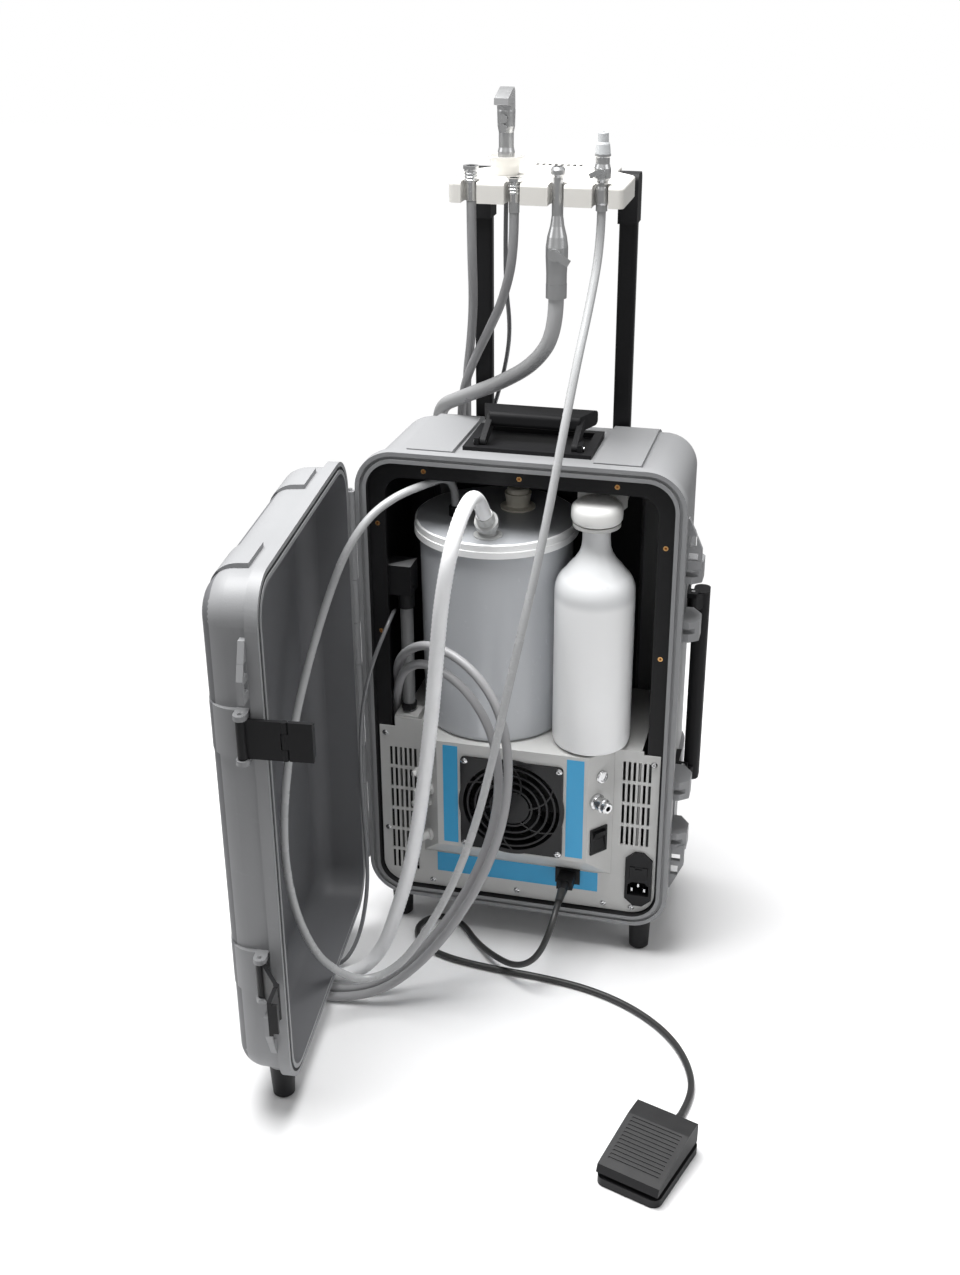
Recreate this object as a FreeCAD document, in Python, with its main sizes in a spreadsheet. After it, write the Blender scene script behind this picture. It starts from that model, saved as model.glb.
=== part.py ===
"""Portable dental unit: a wheeled hard case with a hinged lid, a chassis with fan and controls,
a waste tank and a water bottle, a telescopic handle that carries the instrument tray, and a
foot switch on its cord.

Frame: +Z up, the case opens towards -Y, and the origin is on the floor under the middle of the
case's opening. Millimetres and degrees.
"""
import FreeCAD, Part
import math
import os
import re
import Sketcher

V = FreeCAD.Vector
X_AXIS, Y_AXIS, Z_AXIS = V(1, 0, 0), V(0, 1, 0), V(0, 0, 1)
doc = FreeCAD.newDocument("portable_dental_unit")
sheet = doc.addObject("Spreadsheet::Sheet", "Sizes")
pieces = []


# ---------------------------------------------------------------- sizes
SIZES = {
    # case and lid
    "rim_width": 344,
    "rim_height": 540,
    "rim_bottom": 40,
    "rim_corner": 42,
    "rim_lip": 12,
    "opening_inset": 12,
    "shell_inset": 5,
    "case_depth": 190,
    "case_draft": 1.5,
    "back_round": 45,
    "recess_wall": 4,
    "cavity_round": 16,
    "band_rise": 3.5,
    "band_width": 48,
    "band_pitch_across": 194,
    "band_pitch_up": 256,
    "band_start": 20,
    "recess_width": 196,
    "recess_depth": 28,
    "lid_depth": 57,
    "lid_wall": 4,
    "lid_draft": 3,
    "lid_round": 25,
    "lid_gap": 0.6,
    "seal_inset": 4.5,
    "seal_width": 3.4,
    "seal_depth": 2.4,
    "lid_opening": 84.3,
    "hinge_offset": 5,
    "knuckle_radius": 4.6,
    "hinge_pin_radius": 2.5,
    "hinge_clearance": 0.06,
    "hinge_start": 85,
    "knuckle_pitch": 50,
    "knuckle_gap": 0.5,
    # latches and side fittings
    "latch_half_height": 19,
    "latch_pin_radius": 2.2,
    "latch_plate": 4,
    "latch_lever_length": 25,
    "hook_half_height": 16,
    "hook_clearance": 0.1,
    "keeper_width": 88,
    "lug_thick": 5,
    # feet and wheels
    "foot_radius": 11,
    "foot_across": 281,
    "foot_back": 22,
    "wheel_radius": 38,
    "wheel_width": 26,
    "wheel_across": 270,
    "wheel_inset": 30,
    "axle_radius": 4,
    "running_clearance": 0.05,
    "well_clearance": 4.5,
    "cheek_thick": 5,
    "cheek_radius": 11,
    # handles
    "top_handle_length": 126,
    "top_handle_back": 80,
    "bracket_seat": 3.5,
    "side_handle_length": 232,
    "side_handle_back": 74,
    "grip_radius": 9,
    "post_spacing": 153,
    "post_inset": 14,
    "post_width": 19,
    "post_thick": 12,
    "grip_knuckle": 48,
    "handle_reach": 255,
    "tube_wall": 1.6,
    "slide_clearance": 0.4,
    "knuckle_width": 20,
    # chassis
    "panel_front": 6.5,
    "sheet_metal": 1.5,
    "ring_thick": 6,
    "ring_width": 17,
    "ring_gap": 0.5,
    "insert_across": 302,
    "bay_front": -21,
    "bay_half_front": 84,
    "bay_half_back": 109,
    "deck_height": 262,
    "bay_foot": 130,
    "bay_fold": 100,
    "deck_clearance": 8,
    "slot_width": 3,
    "slot_height": 23.8,
    "slot_pitch_across": 5.6,
    "slot_pitch_up": 27.3,
    "fan_drop": 71.5,
    "fan_size": 119,
    "fan_depth": 25,
    "fan_screw_pitch": 105,
    "guard_size": 114,
    "guard_thick": 2.6,
    # vessels
    "tank_x": -37,
    "tank_y": 66,
    "tank_radius": 82.5,
    "tank_taper": 2.5,
    "tank_wall": 2.5,
    "tank_headroom": 78,
    "lid_plate": 3,
    "lid_skirt": 15,
    "bottle_x": 78.5,
    "bottle_y": 20,
    "bottle_radius": 42,
    "bottle_wall": 1.5,
    "neck_length": 73,
    "neck_radius": 14.5,
    "bottle_headroom": 50,
    "cap_radius": 26.5,
    "cap_height": 21,
    # tray and instruments
    "tray_x": 2,
    "tray_half": 86,
    "tray_front": 60,
    "tray_overhang": 10,
    "tray_rise": 4,
    "tray_depth": 20,
    "tray_wall": 2.4,
    "holder_pitch": 43,
    "holder_width": 16,
    "holder_depth": 21,
    "holder_inset": 11,
    # foot switch
    "pedal_x": 202,
    "pedal_y": -318,
    "pedal_turn": -18,
    "pedal_width": 66,
    "pedal_length": 92,
    "pedal_height": 36,
    # hoses
    "suction_diameter": 15.5,
    "saliva_diameter": 8.5,
    "handpiece_diameter": 9.5,
    "syringe_hose_diameter": 4.5,
    "hose_lane": 12.5,
    "cord_diameter": 7,
}
# what follows from them
FOLLOWS = {
    "cavity_depth": "case_depth - recess_depth - recess_wall",
    "cavity_top": "rim_bottom + rim_height - opening_inset",
    "wheel_back": "case_depth - wheel_inset",
    "post_back": "case_depth - post_inset",
    "handle_top": "rim_bottom + rim_height + handle_reach",
    "post_top": "handle_top - grip_knuckle",
    "deck_back": "cavity_depth - deck_clearance",
    "fan_height": "deck_height - fan_drop",
    "tank_height": "cavity_top - deck_height - tank_headroom",
    "neck_top": "cavity_top - deck_height - bottle_headroom",
    "bottle_body": "neck_top - neck_length",
    "tray_top": "handle_top + tray_rise",
    "tray_back": "post_back + tray_overhang",
    "tool_y": "tray_front + holder_inset",
}
for row, (name, value) in enumerate(SIZES.items(), 1):
    sheet.set(f"A{row}", name)
    sheet.set(f"B{row}", str(value))
    sheet.setAlias(f"B{row}", name)
doc.recompute()


def link(text):
    """Turn the names in a formula into references to the sheet."""
    def reference(word):
        name = word.group(0)
        if name in FOLLOWS:
            return "(" + link(FOLLOWS[name]) + ")"
        return "Sizes." + name if name in SIZES else name

    return re.sub(r"[a-z_]+", reference, str(text))


def num(text):
    """The present value of a formula."""
    result = sheet.evalExpression(link(text))
    return float(getattr(result, "Value", result))


MIDDLE = "(rim_bottom + rim_height/2)"
HINGE_X = "(-(rim_width/2 + hinge_offset))"


# ---------------------------------------------------------------- general helpers
def place(obj, x="0", y="0", z="0"):
    """Tie a piece's place to the sheet."""
    for letter, text in zip("xyz", (x, y, z)):
        obj.setExpression("Placement.Base." + letter, link(text))


def box(name, x, y, z):
    """A block from its low and high sides along each axis."""
    obj = doc.addObject("Part::Box", name)
    for side, (low, high) in zip(("Length", "Width", "Height"), (x, y, z)):
        obj.setExpression(side, link(f"({high}) - ({low})"))
    place(obj, x[0], y[0], z[0])
    return obj


TURNS = {"X": FreeCAD.Rotation(Y_AXIS, 90), "Y": FreeCAD.Rotation(X_AXIS, -90), "Z": FreeCAD.Rotation()}


def rod(name, axis, radius, start, end, first, second):
    """A round bar along an axis; first and second are its other two coordinates, in X, Y, Z order."""
    obj = doc.addObject("Part::Cylinder", name)
    obj.setExpression("Radius", link(radius))
    obj.setExpression("Height", link(f"({end}) - ({start})"))
    obj.Placement = FreeCAD.Placement(V(0, 0, 0), TURNS[axis])
    where = {"X": (start, first, second), "Y": (first, start, second), "Z": (first, second, start)}[axis]
    place(obj, *where)
    return obj


def turned_block(name, half, at, axis, angle):
    """A block about a centre, turned about an axis through it."""
    obj = doc.addObject("Part::Box", name)
    sides = [2*num(h) for h in half]
    obj.Length, obj.Width, obj.Height = sides
    turn = FreeCAD.Rotation(axis, angle)
    middle = V(*[num(c) for c in at])
    obj.Placement = FreeCAD.Placement(middle - turn.multVec(V(*sides)/2), turn)
    return obj


def cut(name, base, *tools):
    """The base less each tool."""
    tool = tools[0] if len(tools) == 1 else fuse(name + "_tools", *tools)
    obj = doc.addObject("Part::Cut", name)
    obj.Base = base
    obj.Tool = tool
    return obj


def fuse(name, *parts):
    """One solid from several."""
    obj = doc.addObject("Part::MultiFuse", name)
    obj.Shapes = list(parts)
    obj.Refine = True
    return obj


def common(name, first, second):
    """What two solids share."""
    obj = doc.addObject("Part::Common", name)
    obj.Base = first
    obj.Tool = second
    return obj


def rounded(name, base, radius, test):
    """Round the edges of a solid that pass a test."""
    doc.recompute()
    obj = doc.addObject("Part::Fillet", name)
    obj.Base = base
    value = num(radius)
    picked = [i + 1 for i, edge in enumerate(base.Shape.Edges) if test(edge)]
    obj.Edges = [(i, value, value) for i in picked]
    return obj


def piece(node, obj):
    """A finished sub-part; its label names its file."""
    obj.Label = node
    if obj.Label != node:
        raise ValueError("the name " + node + " is taken")
    pieces.append(obj)
    return obj


def group(node, parts):
    """Like pieces that share one node, as separate solids."""
    obj = doc.addObject("Part::Compound", node)
    obj.Links = list(parts)
    return piece(node, obj)


def shaped(name, shape):
    """A form that only a curve or a loft gives."""
    obj = doc.addObject("Part::Feature", name)
    obj.Shape = shape
    return obj


def along(edge, direction):
    """True for a straight edge along a direction."""
    if not isinstance(edge.Curve, (Part.Line, Part.LineSegment)):
        return False
    return abs(abs(edge.tangentAt(edge.FirstParameter).dot(direction)) - 1) < 1e-6


# ---------------------------------------------------------------- sketches and bodies
def new_body(name):
    return doc.addObject("PartDesign::Body", name)


def sketch_on(body, label, role, start="0"):
    """A sketch on one of the body's own origin planes, moved along its normal."""
    sketch = body.newObject("Sketcher::SketchObject", label)
    plane = next(item for item in body.Origin.OriginFeatures if item.Role == role)
    sketch.AttachmentSupport = [(plane, "")]
    sketch.MapMode = "FlatFace"
    sketch.setExpression("AttachmentOffset.Base.z", link(start))
    return sketch


def pin_down(sketch, kind, element, point, text, value):
    """Fix one distance from the origin, as a formula."""
    if abs(value) < 1e-9:
        axis = -2 if kind == "DistanceX" else -1
        sketch.addConstraint(Sketcher.Constraint("PointOnObject", element, point, axis))
        return
    index = sketch.addConstraint(Sketcher.Constraint(kind, -1, 1, element, point, value))
    sketch.setExpression(f"Constraints[{index}]", link(text))


def polygon(body, label, role, points, start="0"):
    """A closed outline of straight sides through the given corners."""
    sketch = sketch_on(body, label, role, start)
    corners = [V(num(a), num(b), 0) for a, b in points]
    count = len(corners)
    for i in range(count):
        sketch.addGeometry(Part.LineSegment(corners[i], corners[(i + 1) % count]), False)
    for i in range(count):
        sketch.addConstraint(Sketcher.Constraint("Coincident", i, 2, (i + 1) % count, 1))
    for i, (a, b) in enumerate(points):
        pin_down(sketch, "DistanceX", i, 1, a, corners[i].x)
        pin_down(sketch, "DistanceY", i, 1, b, corners[i].y)
    return sketch


def rounded_outline(body, label, role, across, up, corner, start="0"):
    """A rectangle with four equal round corners; across and up are pairs of formulas."""
    sketch = sketch_on(body, label, role, start)
    r = num(corner)
    left, right = num(across[0]) + r, num(across[1]) - r
    low, high = num(up[0]) + r, num(up[1]) - r
    runs = [((left, low - r), (right, low - r)), ((right + r, low), (right + r, high)),
            ((right, high + r), (left, high + r)), ((left - r, high), (left - r, low))]
    centres = [(right, low, -90), (right, high, 0), (left, high, 90), (left, low, 180)]
    for (a, b), (cx, cy, angle) in zip(runs, centres):
        sketch.addGeometry(Part.LineSegment(V(*a, 0), V(*b, 0)), False)
        circle = Part.Circle(V(cx, cy, 0), Z_AXIS, r)
        sketch.addGeometry(Part.ArcOfCircle(circle, math.radians(angle), math.radians(angle + 90)), False)
    for i in range(4):
        line, arc, following = 2*i, 2*i + 1, (2*i + 2) % 8
        sketch.addConstraint(Sketcher.Constraint("Tangent", line, 2, arc, 1))
        sketch.addConstraint(Sketcher.Constraint("Tangent", arc, 2, following, 1))
    for arc in (3, 5, 7):
        sketch.addConstraint(Sketcher.Constraint("Equal", 1, arc))
    index = sketch.addConstraint(Sketcher.Constraint("Radius", 1, r))
    sketch.setExpression(f"Constraints[{index}]", link(corner))
    sides = {1: (1, 0), 3: (1, 1), 5: (0, 1), 7: (0, 0)}
    for arc, (a, b) in sides.items():
        x_text = f"({across[a]}) {'-' if a else '+'} ({corner})"
        y_text = f"({up[b]}) {'-' if b else '+'} ({corner})"
        pin_down(sketch, "DistanceX", arc, 3, x_text, num(x_text))
        pin_down(sketch, "DistanceY", arc, 3, y_text, num(y_text))
    return sketch


def pad(body, sketch, length, backwards=False, draft="0"):
    """Raise a sketch; a draft narrows the form as it goes."""
    feature = body.newObject("PartDesign::Pad", sketch.Name + "_pad")
    feature.Profile = sketch
    feature.setExpression("Length", link(length))
    feature.setExpression("TaperAngle", link(f"-({draft})"))
    feature.Reversed = backwards
    sketch.Visibility = False
    return feature


def pocket(body, sketch, length, backwards=False, draft="0"):
    """Sink a sketch and make sure that something was cut."""
    doc.recompute()
    before = body.Shape.Volume
    feature = body.newObject("PartDesign::Pocket", sketch.Name + "_pocket")
    feature.Profile = sketch
    feature.setExpression("Length", link(length))
    feature.setExpression("TaperAngle", link(f"-({draft})"))
    feature.Reversed = backwards
    doc.recompute()
    if body.Shape.Volume > before - 1e-3:
        raise ValueError(sketch.Name + " cuts nothing")
    return feature


def fillet(body, radius, test):
    """Round the edges of the body's last form that pass a test."""
    doc.recompute()
    base = body.Tip
    found = [f"Edge{i + 1}" for i, edge in enumerate(base.Shape.Edges) if test(edge)]
    feature = body.newObject("PartDesign::Fillet", body.Name + "_round")
    feature.Base = (base, found)
    feature.setExpression("Radius", link(radius))
    return feature


def turned(name, points, at=None):
    """A turned piece: a closed outline of (radius, height) corners, spun about its own axis."""
    body = new_body(name)
    sketch = polygon(body, name + "_outline", "XZ_Plane", points)
    feature = body.newObject("PartDesign::Revolution", name + "_turn")
    feature.Profile = sketch
    feature.ReferenceAxis = (sketch, ["V_Axis"])
    feature.Angle = 360
    if at:
        place(body, *at)
    return body


def ring_at(height, radius=None):
    """A test for the circular edges at a height, of a radius if one is given."""
    def test(edge):
        if not isinstance(edge.Curve, Part.Circle) or abs(edge.Curve.Center.z - num(height)) > 0.01:
            return False
        return radius is None or abs(edge.Curve.Radius - num(radius)) < 0.01
    return test


# ---------------------------------------------------------------- case shell
def tub(name, inset, depth, corner, draft, start="0", forwards=False, middle="0"):
    """A drafted tray form with the case's outline, brought in by an inset on every side."""
    body = new_body(name)
    across = (f"{middle} - (rim_width/2 - ({inset}))", f"{middle} + rim_width/2 - ({inset})")
    up = (f"rim_bottom + ({inset})", f"rim_bottom + rim_height - ({inset})")
    outline = rounded_outline(body, name + "_outline", "XZ_Plane", across, up, corner, start)
    pad(body, outline, depth, backwards=not forwards, draft=draft)
    return body


def at_depth(y):
    """A test for the edges of the face at a depth."""
    value = num(y)
    return lambda edge: abs(edge.BoundBox.YMin - value) < 0.01 and abs(edge.BoundBox.YMax - value) < 0.01


def bands(name, form, middle="0"):
    """The raised bands: the form cut to two upright and two level strips."""
    strips = []
    for sign in ("-", "+"):
        mid = f"{middle} {sign} band_pitch_across/2"
        strips.append(box(f"{name}_upright", (f"{mid} - band_width/2", f"{mid} + band_width/2"),
                          ("-case_depth", "case_depth"), ("rim_bottom - 20", "rim_bottom + rim_height + 20")))
        mid = f"{MIDDLE} {sign} band_pitch_up/2"
        strips.append(box(f"{name}_level", (f"{middle} - rim_width", f"{middle} + rim_width"),
                          ("-case_depth", "case_depth"), (f"{mid} - band_width/2", f"{mid} + band_width/2")))
    return common(name, form, fuse(name + "_strips", *strips))


def knuckles(name, first, web):
    """Every other knuckle of the long hinge, each with its web."""
    parts = []
    for i in range(first, 9, 2):
        low = f"hinge_start + {i}*knuckle_pitch + knuckle_gap/2"
        high = f"hinge_start + {i + 1}*knuckle_pitch - knuckle_gap/2"
        parts.append(rod(name, "Z", "knuckle_radius", low, high, web["x"], "0"))
        parts.append(box(name + "_web", web["across"], web["deep"], (low, high)))
    return parts


def padlock_ear(name, side, sign, deep):
    """An upright plate with two windows beside a latch; sign is the way that it tapers."""
    body = new_body(name)
    root = f"({MIDDLE} {sign} (band_pitch_up/2 + keeper_width/2 - 6))"
    tall = lambda rise: f"{root} {sign} {rise}"
    points = [(f"{side} - 7", tall(0)), (f"{side} + 15", tall(0)), (f"{side} + 15", tall(22)),
              (f"{side} + 1", tall(54)), (f"{side} - 7", tall(54))]
    pad(body, polygon(body, name + "_outline", "XZ_Plane", points, f"-({deep[0]})"),
        f"({deep[1]}) - ({deep[0]})", backwards=True)
    windows = []
    for low, high, wide in ((9, 18, 11), (24, 36, 9)):
        ends = sorted((tall(low), tall(high)), key=num)
        windows.append(box(name + "_window", (f"{side} + 1", f"{side} + {wide}"),
                           (f"{deep[0]} - 1", f"{deep[1]} + 1"), tuple(ends)))
    return cut(name + "_plate", body, *windows)


def keeper(name, sign):
    """The moulded bay that a latch lies in, with the bar that its hook holds."""
    side = "rim_width/2"
    mid = f"({MIDDLE} {sign} band_pitch_up/2)"
    block = new_body(name)
    points = [(f"{side} - 8", "rim_lip"), (f"{side} + 6", "rim_lip"), (f"{side} + 16", "rim_lip + 8"),
              (f"{side} + 16", "rim_lip + 26"), (f"{side} + 6", "rim_lip + 40"),
                      (f"{side} - 12", "rim_lip + 40")]
    pad(block, polygon(block, name + "_outline", "XY_Plane", points, f"{mid} - keeper_width/2"),
            "keeper_width")
    inside = "latch_half_height + 2.6"
    bay = box(name + "_bay", (f"{side} - 4", f"{side} + 20"), ("rim_lip - 1", "rim_lip + 50"),
              (f"{mid} - ({inside})", f"{mid} + {inside}"))
    slots = [box(name + "_slot", (f"{side} - 1", f"{side} + 12"), ("rim_lip - 1", "rim_lip + 5"),
                 (f"{mid} {s} 32 - 3", f"{mid} {s} 32 + 3")) for s in "+-"]
    bar = box(name + "_bar", (f"{side} - 8", f"{side} - 0.6"),
            ("rim_lip + 24", "rim_lip + 28 - hook_clearance"),
              (f"{mid} - ({inside})", f"{mid} + {inside}"))
    return fuse(name + "_form", cut(name + "_cut", block, bay, *slots), bar)


def hook_hollow(name, sign):
    """The hollow in the side band, behind the bar, that a latch's hook lies in."""
    side = "rim_width/2"
    mid = f"({MIDDLE} {sign} band_pitch_up/2)"
    return box(name, (f"{side} - 4", f"{side} + 1"), ("rim_lip + 28 - hook_clearance", "rim_lip + 40"),
               (f"{mid} - hook_half_height - 1", f"{mid} + hook_half_height + 1"))


def wheel_x(sign):
    return f"{sign}wheel_across/2"


def make_case():
    outer = tub("case_outer", "shell_inset", "case_depth", "rim_corner - shell_inset", "case_draft")
    fillet(outer, "back_round", at_depth("case_depth"))
    raised = tub("case_band_form", "shell_inset - band_rise", "case_depth - band_start",
                 "rim_corner - shell_inset + band_rise", "case_draft", start="-band_start")
    fillet(raised, "back_round + band_rise", at_depth("case_depth"))
    rim = tub("case_rim", "0", "rim_lip", "rim_corner", "0")
    blocks = []
    for sign in ("-", ""):
        x = wheel_x(sign)
        blocks.append(box("well_block", (f"{x} - wheel_width/2 - 8", f"{x} + wheel_width/2 + 8"),
                          ("wheel_back - wheel_radius - 10", "case_depth"), ("rim_bottom",
                                  "rim_bottom + 50")))
    feet = [rod("foot_boss", "Z", "foot_radius + 3", "rim_bottom", "rim_bottom + 14",
                f"{sign}foot_across/2", "foot_back") for sign in ("-", "")]
    web = {"x": HINGE_X, "across": (HINGE_X, f"{HINGE_X} + hinge_offset + 2"),
            "deep": ("lid_gap", "knuckle_radius")}
    cheeks = []
    for sign, side in (("-", "-"), ("-", "+"), ("", "-"), ("", "+")):
        near = f"{wheel_x(sign)} {side} (wheel_width/2 + 2)"
        span = (f"{near} - cheek_thick", near) if side == "-" else (near, f"{near} + cheek_thick")
        cheeks.append(box("wheel_cheek", span, ("wheel_back - cheek_radius", "wheel_back + cheek_radius"),
                          ("wheel_radius", "rim_bottom + 42")))
        cheeks.append(rod("cheek_end", "X", "cheek_radius", *span, "wheel_back", "wheel_radius"))
    hinge = knuckles("case_knuckle", 0, web)
    keepers = [keeper("upper_keeper", "+"), keeper("lower_keeper", "-")]
    ears = [padlock_ear("case_ear_upper", "(rim_width/2)", "+", ("rim_lip", "rim_lip + 6")),
            padlock_ear("case_ear_lower", "(rim_width/2)", "-", ("rim_lip", "rim_lip + 6"))]
    solid = fuse("case_solid", outer, bands("case_bands", raised), rim, *feet, *cheeks, *hinge, *keepers,
            *ears)

    cavity = tub("case_cavity", "opening_inset", "cavity_depth", "rim_corner - opening_inset", "case_draft")
    fillet(cavity, "cavity_round", at_depth("cavity_depth"))
    kept = fuse("well_forms", *blocks)
    hollow = cut("case_hollow", cavity, kept)
    lobes = [box("side_lobe", (f"{sign}118 - 13", f"{sign}118 + 13"), ("cavity_depth - 30", "case_depth - 9"),
                 ("rim_bottom + 70", "rim_bottom + rim_height - 70")) for sign in ("-", "")]
    recess = box("handle_recess", ("-recess_width/2", "recess_width/2"),
                 ("case_depth - recess_depth", "case_depth + 1"), ("rim_bottom - 1",
                         "rim_bottom + rim_height + 1"))
    seal = tub("case_groove_outer", "seal_inset", "seal_depth", "rim_corner - seal_inset", "0")
    land = tub("case_groove_inner", "seal_inset + seal_width", "seal_depth",
               "rim_corner - seal_inset - seal_width", "0")
    groove = cut("case_groove", seal, land)
    wells = []
    for sign in ("-", ""):
        x = wheel_x(sign)
        wells.append(rod("wheel_well", "X", "wheel_radius + well_clearance", f"{x} - wheel_width/2 - 2",
                         f"{x} + wheel_width/2 + 2", "wheel_back", "wheel_radius"))
        wells.append(rod("axle_bore", "X", "axle_radius + running_clearance", f"{x} - wheel_width/2 - 7",
                         f"{x} + wheel_width/2 + 7", "wheel_back", "wheel_radius"))
    bore = rod("hinge_bore", "Z", "hinge_pin_radius + hinge_clearance", "hinge_start - 1",
               "hinge_start + 9*knuckle_pitch + 1", HINGE_X, "0")
    hooks = [hook_hollow("upper_hook_hollow", "+"), hook_hollow("lower_hook_hollow", "-")]
    blocked = fuse("case_with_wells", solid, common("well_inside", outer, kept))
    piece("case_shell", cut("case_cut", blocked, hollow, *lobes, recess, groove, *wells, bore, *hooks,
            *bracket_seats()))


TOP_SEAT = "(rim_bottom + rim_height - shell_inset - bracket_seat)"
SIDE_SEAT = "(rim_width/2 - shell_inset - bracket_seat)"


def side_mount_z(sign):
    """The height of a side handle's mount."""
    return f"({MIDDLE} {sign} (side_handle_length/2 - 11))"


def bracket_seats():
    """Flat seats in the drafted walls for the handles' brackets."""
    half = "top_handle_length/2 + 4.3"
    seats = [box("top_seat", (f"-({half})", half), ("top_handle_back - 40.3", "top_handle_back + 40.3"),
            (TOP_SEAT, f"{TOP_SEAT} + 20"))]
    for sign in "-+":
        z = side_mount_z(sign)
        seats.append(box("side_seat", (SIDE_SEAT, f"{SIDE_SEAT} + 20"),
                ("side_handle_back - 20.3", "side_handle_back + 20.3"),
                         (f"{z} - 16.3", f"{z} + 16.3")))
    return seats


# ---------------------------------------------------------------- lid, in its own frame
# Local X runs from the hinge to the free side, and the lid's outside faces local -Y.
LID_MIDDLE = "(rim_width/2 + hinge_offset)"


def lid_placement():
    return FreeCAD.Placement(V(num(HINGE_X), 0, 0), FreeCAD.Rotation(Z_AXIS, -num("lid_opening")))


def on_lid(node, *parts):
    """A sub-part drawn in the lid's frame, swung to where the open lid stands."""
    obj = doc.addObject("Part::Compound", node)
    obj.Links = list(parts)
    obj.Placement = lid_placement()
    return piece(node, obj)


def lid_lug(name, sign, pin_x, pin_y):
    """Two ears that hold a latch's pin."""
    mid = f"({MIDDLE} {sign} band_pitch_up/2)"
    parts = []
    for s in "+-":
        edge = f"{mid} {s} (latch_half_height + 0.6)"
        far = f"{mid} {s} (latch_half_height + 0.6 + lug_thick)"
        ends = sorted((edge, far), key=num)
        parts.append(box(name, (f"{pin_x} - 14", pin_x), (f"{pin_y} - 6", f"{pin_y} + 6"), tuple(ends)))
        parts.append(rod(name + "_round", "Z", "6", ends[0], ends[1], pin_x, pin_y))
    return parts


PIN_X = "(rim_width + hinge_offset + 6)"
PIN_Y = "(-20)"


def make_lid():
    outer = tub("lid_outer", "shell_inset", "lid_depth", "rim_corner - shell_inset", "lid_draft",
                forwards=True, middle=LID_MIDDLE)
    fillet(outer, "lid_round", at_depth("-lid_depth"))
    raised = tub("lid_band_form", "shell_inset - band_rise", "lid_depth - band_start",
                 "rim_corner - shell_inset + band_rise", "lid_draft", start="band_start",
                 forwards=True, middle=LID_MIDDLE)
    fillet(raised, "lid_round + band_rise", at_depth("-lid_depth"))
    rim = tub("lid_rim", "0", "rim_lip - lid_gap", "rim_corner", "0", start="lid_gap",
              forwards=True, middle=LID_MIDDLE)
    web = {"x": "0", "across": ("0", "hinge_offset + 2"), "deep": ("-knuckle_radius", "-lid_gap")}
    hinge = knuckles("lid_knuckle", 1, web)
    lugs = lid_lug("upper_lug", "+", PIN_X, PIN_Y) + lid_lug("lower_lug", "-", PIN_X, PIN_Y)
    side = "(rim_width + hinge_offset)"
    ears = [padlock_ear("lid_ear_upper", side, "+", ("-rim_lip - 6", "-rim_lip")),
            padlock_ear("lid_ear_lower", side, "-", ("-rim_lip - 6", "-rim_lip"))]
    foot = rod("lid_foot_boss", "Z", "foot_radius + 3", "rim_bottom", "rim_bottom + 14",
               "rim_width - 41", "-foot_back - 1")
    slab = box("lid_front_cut", ("-20", "hinge_offset"), ("-lid_depth - 20", "-rim_lip"),
            ("0", "rim_bottom + rim_height + 9"))
    solid = fuse("lid_solid", outer, bands("lid_bands", raised, LID_MIDDLE), rim, *hinge, *lugs, *ears, foot)
    trimmed = cut("lid_trimmed", solid, slab)
    cavity = tub("lid_cavity", "opening_inset", "lid_depth - lid_wall", "rim_corner - opening_inset",
                 "lid_draft", forwards=True, middle=LID_MIDDLE)
    fillet(cavity, "lid_round - lid_wall", at_depth("lid_wall - lid_depth"))
    seal = tub("lid_groove_outer", "seal_inset", "seal_depth + lid_gap", "rim_corner - seal_inset", "0",
               forwards=True, middle=LID_MIDDLE)
    land = tub("lid_groove_inner", "seal_inset + seal_width", "seal_depth + lid_gap",
               "rim_corner - seal_inset - seal_width", "0", forwards=True, middle=LID_MIDDLE)
    groove = cut("lid_groove", seal, land)
    bore = rod("lid_hinge_bore", "Z", "hinge_pin_radius + hinge_clearance", "hinge_start - 1",
               "hinge_start + 9*knuckle_pitch + 1", "0", "0")
    pins = [rod("latch_pin_bore", "Z", "latch_pin_radius", f"{MIDDLE} {s} band_pitch_up/2 - 40",
                f"{MIDDLE} {s} band_pitch_up/2 + 40", PIN_X, PIN_Y) for s in "+-"]
    on_lid("lid_shell", cut("lid_form", trimmed, cavity, groove, bore, *pins))

    ring = tub("lid_seal", "seal_inset + 0.2", "seal_depth - 0.4", "rim_corner - seal_inset - 0.2", "0",
               start="lid_gap + 0.2", forwards=True, middle=LID_MIDDLE)
    hole = tub("lid_seal_hole", "seal_inset + seal_width - 0.2", "seal_depth + 2",
               "rim_corner - seal_inset - seal_width + 0.2", "0", forwards=True, middle=LID_MIDDLE)
    on_lid("lid_gasket", cut("gasket_form", ring, hole))

    foot_top = "rim_bottom"
    foot_body = turned("lid_foot_form", [("0", "0"), ("foot_radius - 2", "0"), ("foot_radius", "2"),
                                    ("foot_radius + 2", foot_top), ("0", foot_top)],
                       ("rim_width - 41", "-foot_back - 1", "0"))
    on_lid("lid_foot", foot_body)
    middle = [f"{MIDDLE} {s} band_pitch_up/2" for s in "+-"]
    pin_rods = [rod("latch_pin", "Z", "latch_pin_radius", f"{m} - latch_half_height - lug_thick - 0.4",
                    f"{m} + latch_half_height + lug_thick + 0.4", PIN_X, PIN_Y) for m in middle]
    on_lid("latch_pins", *pin_rods)


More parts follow.
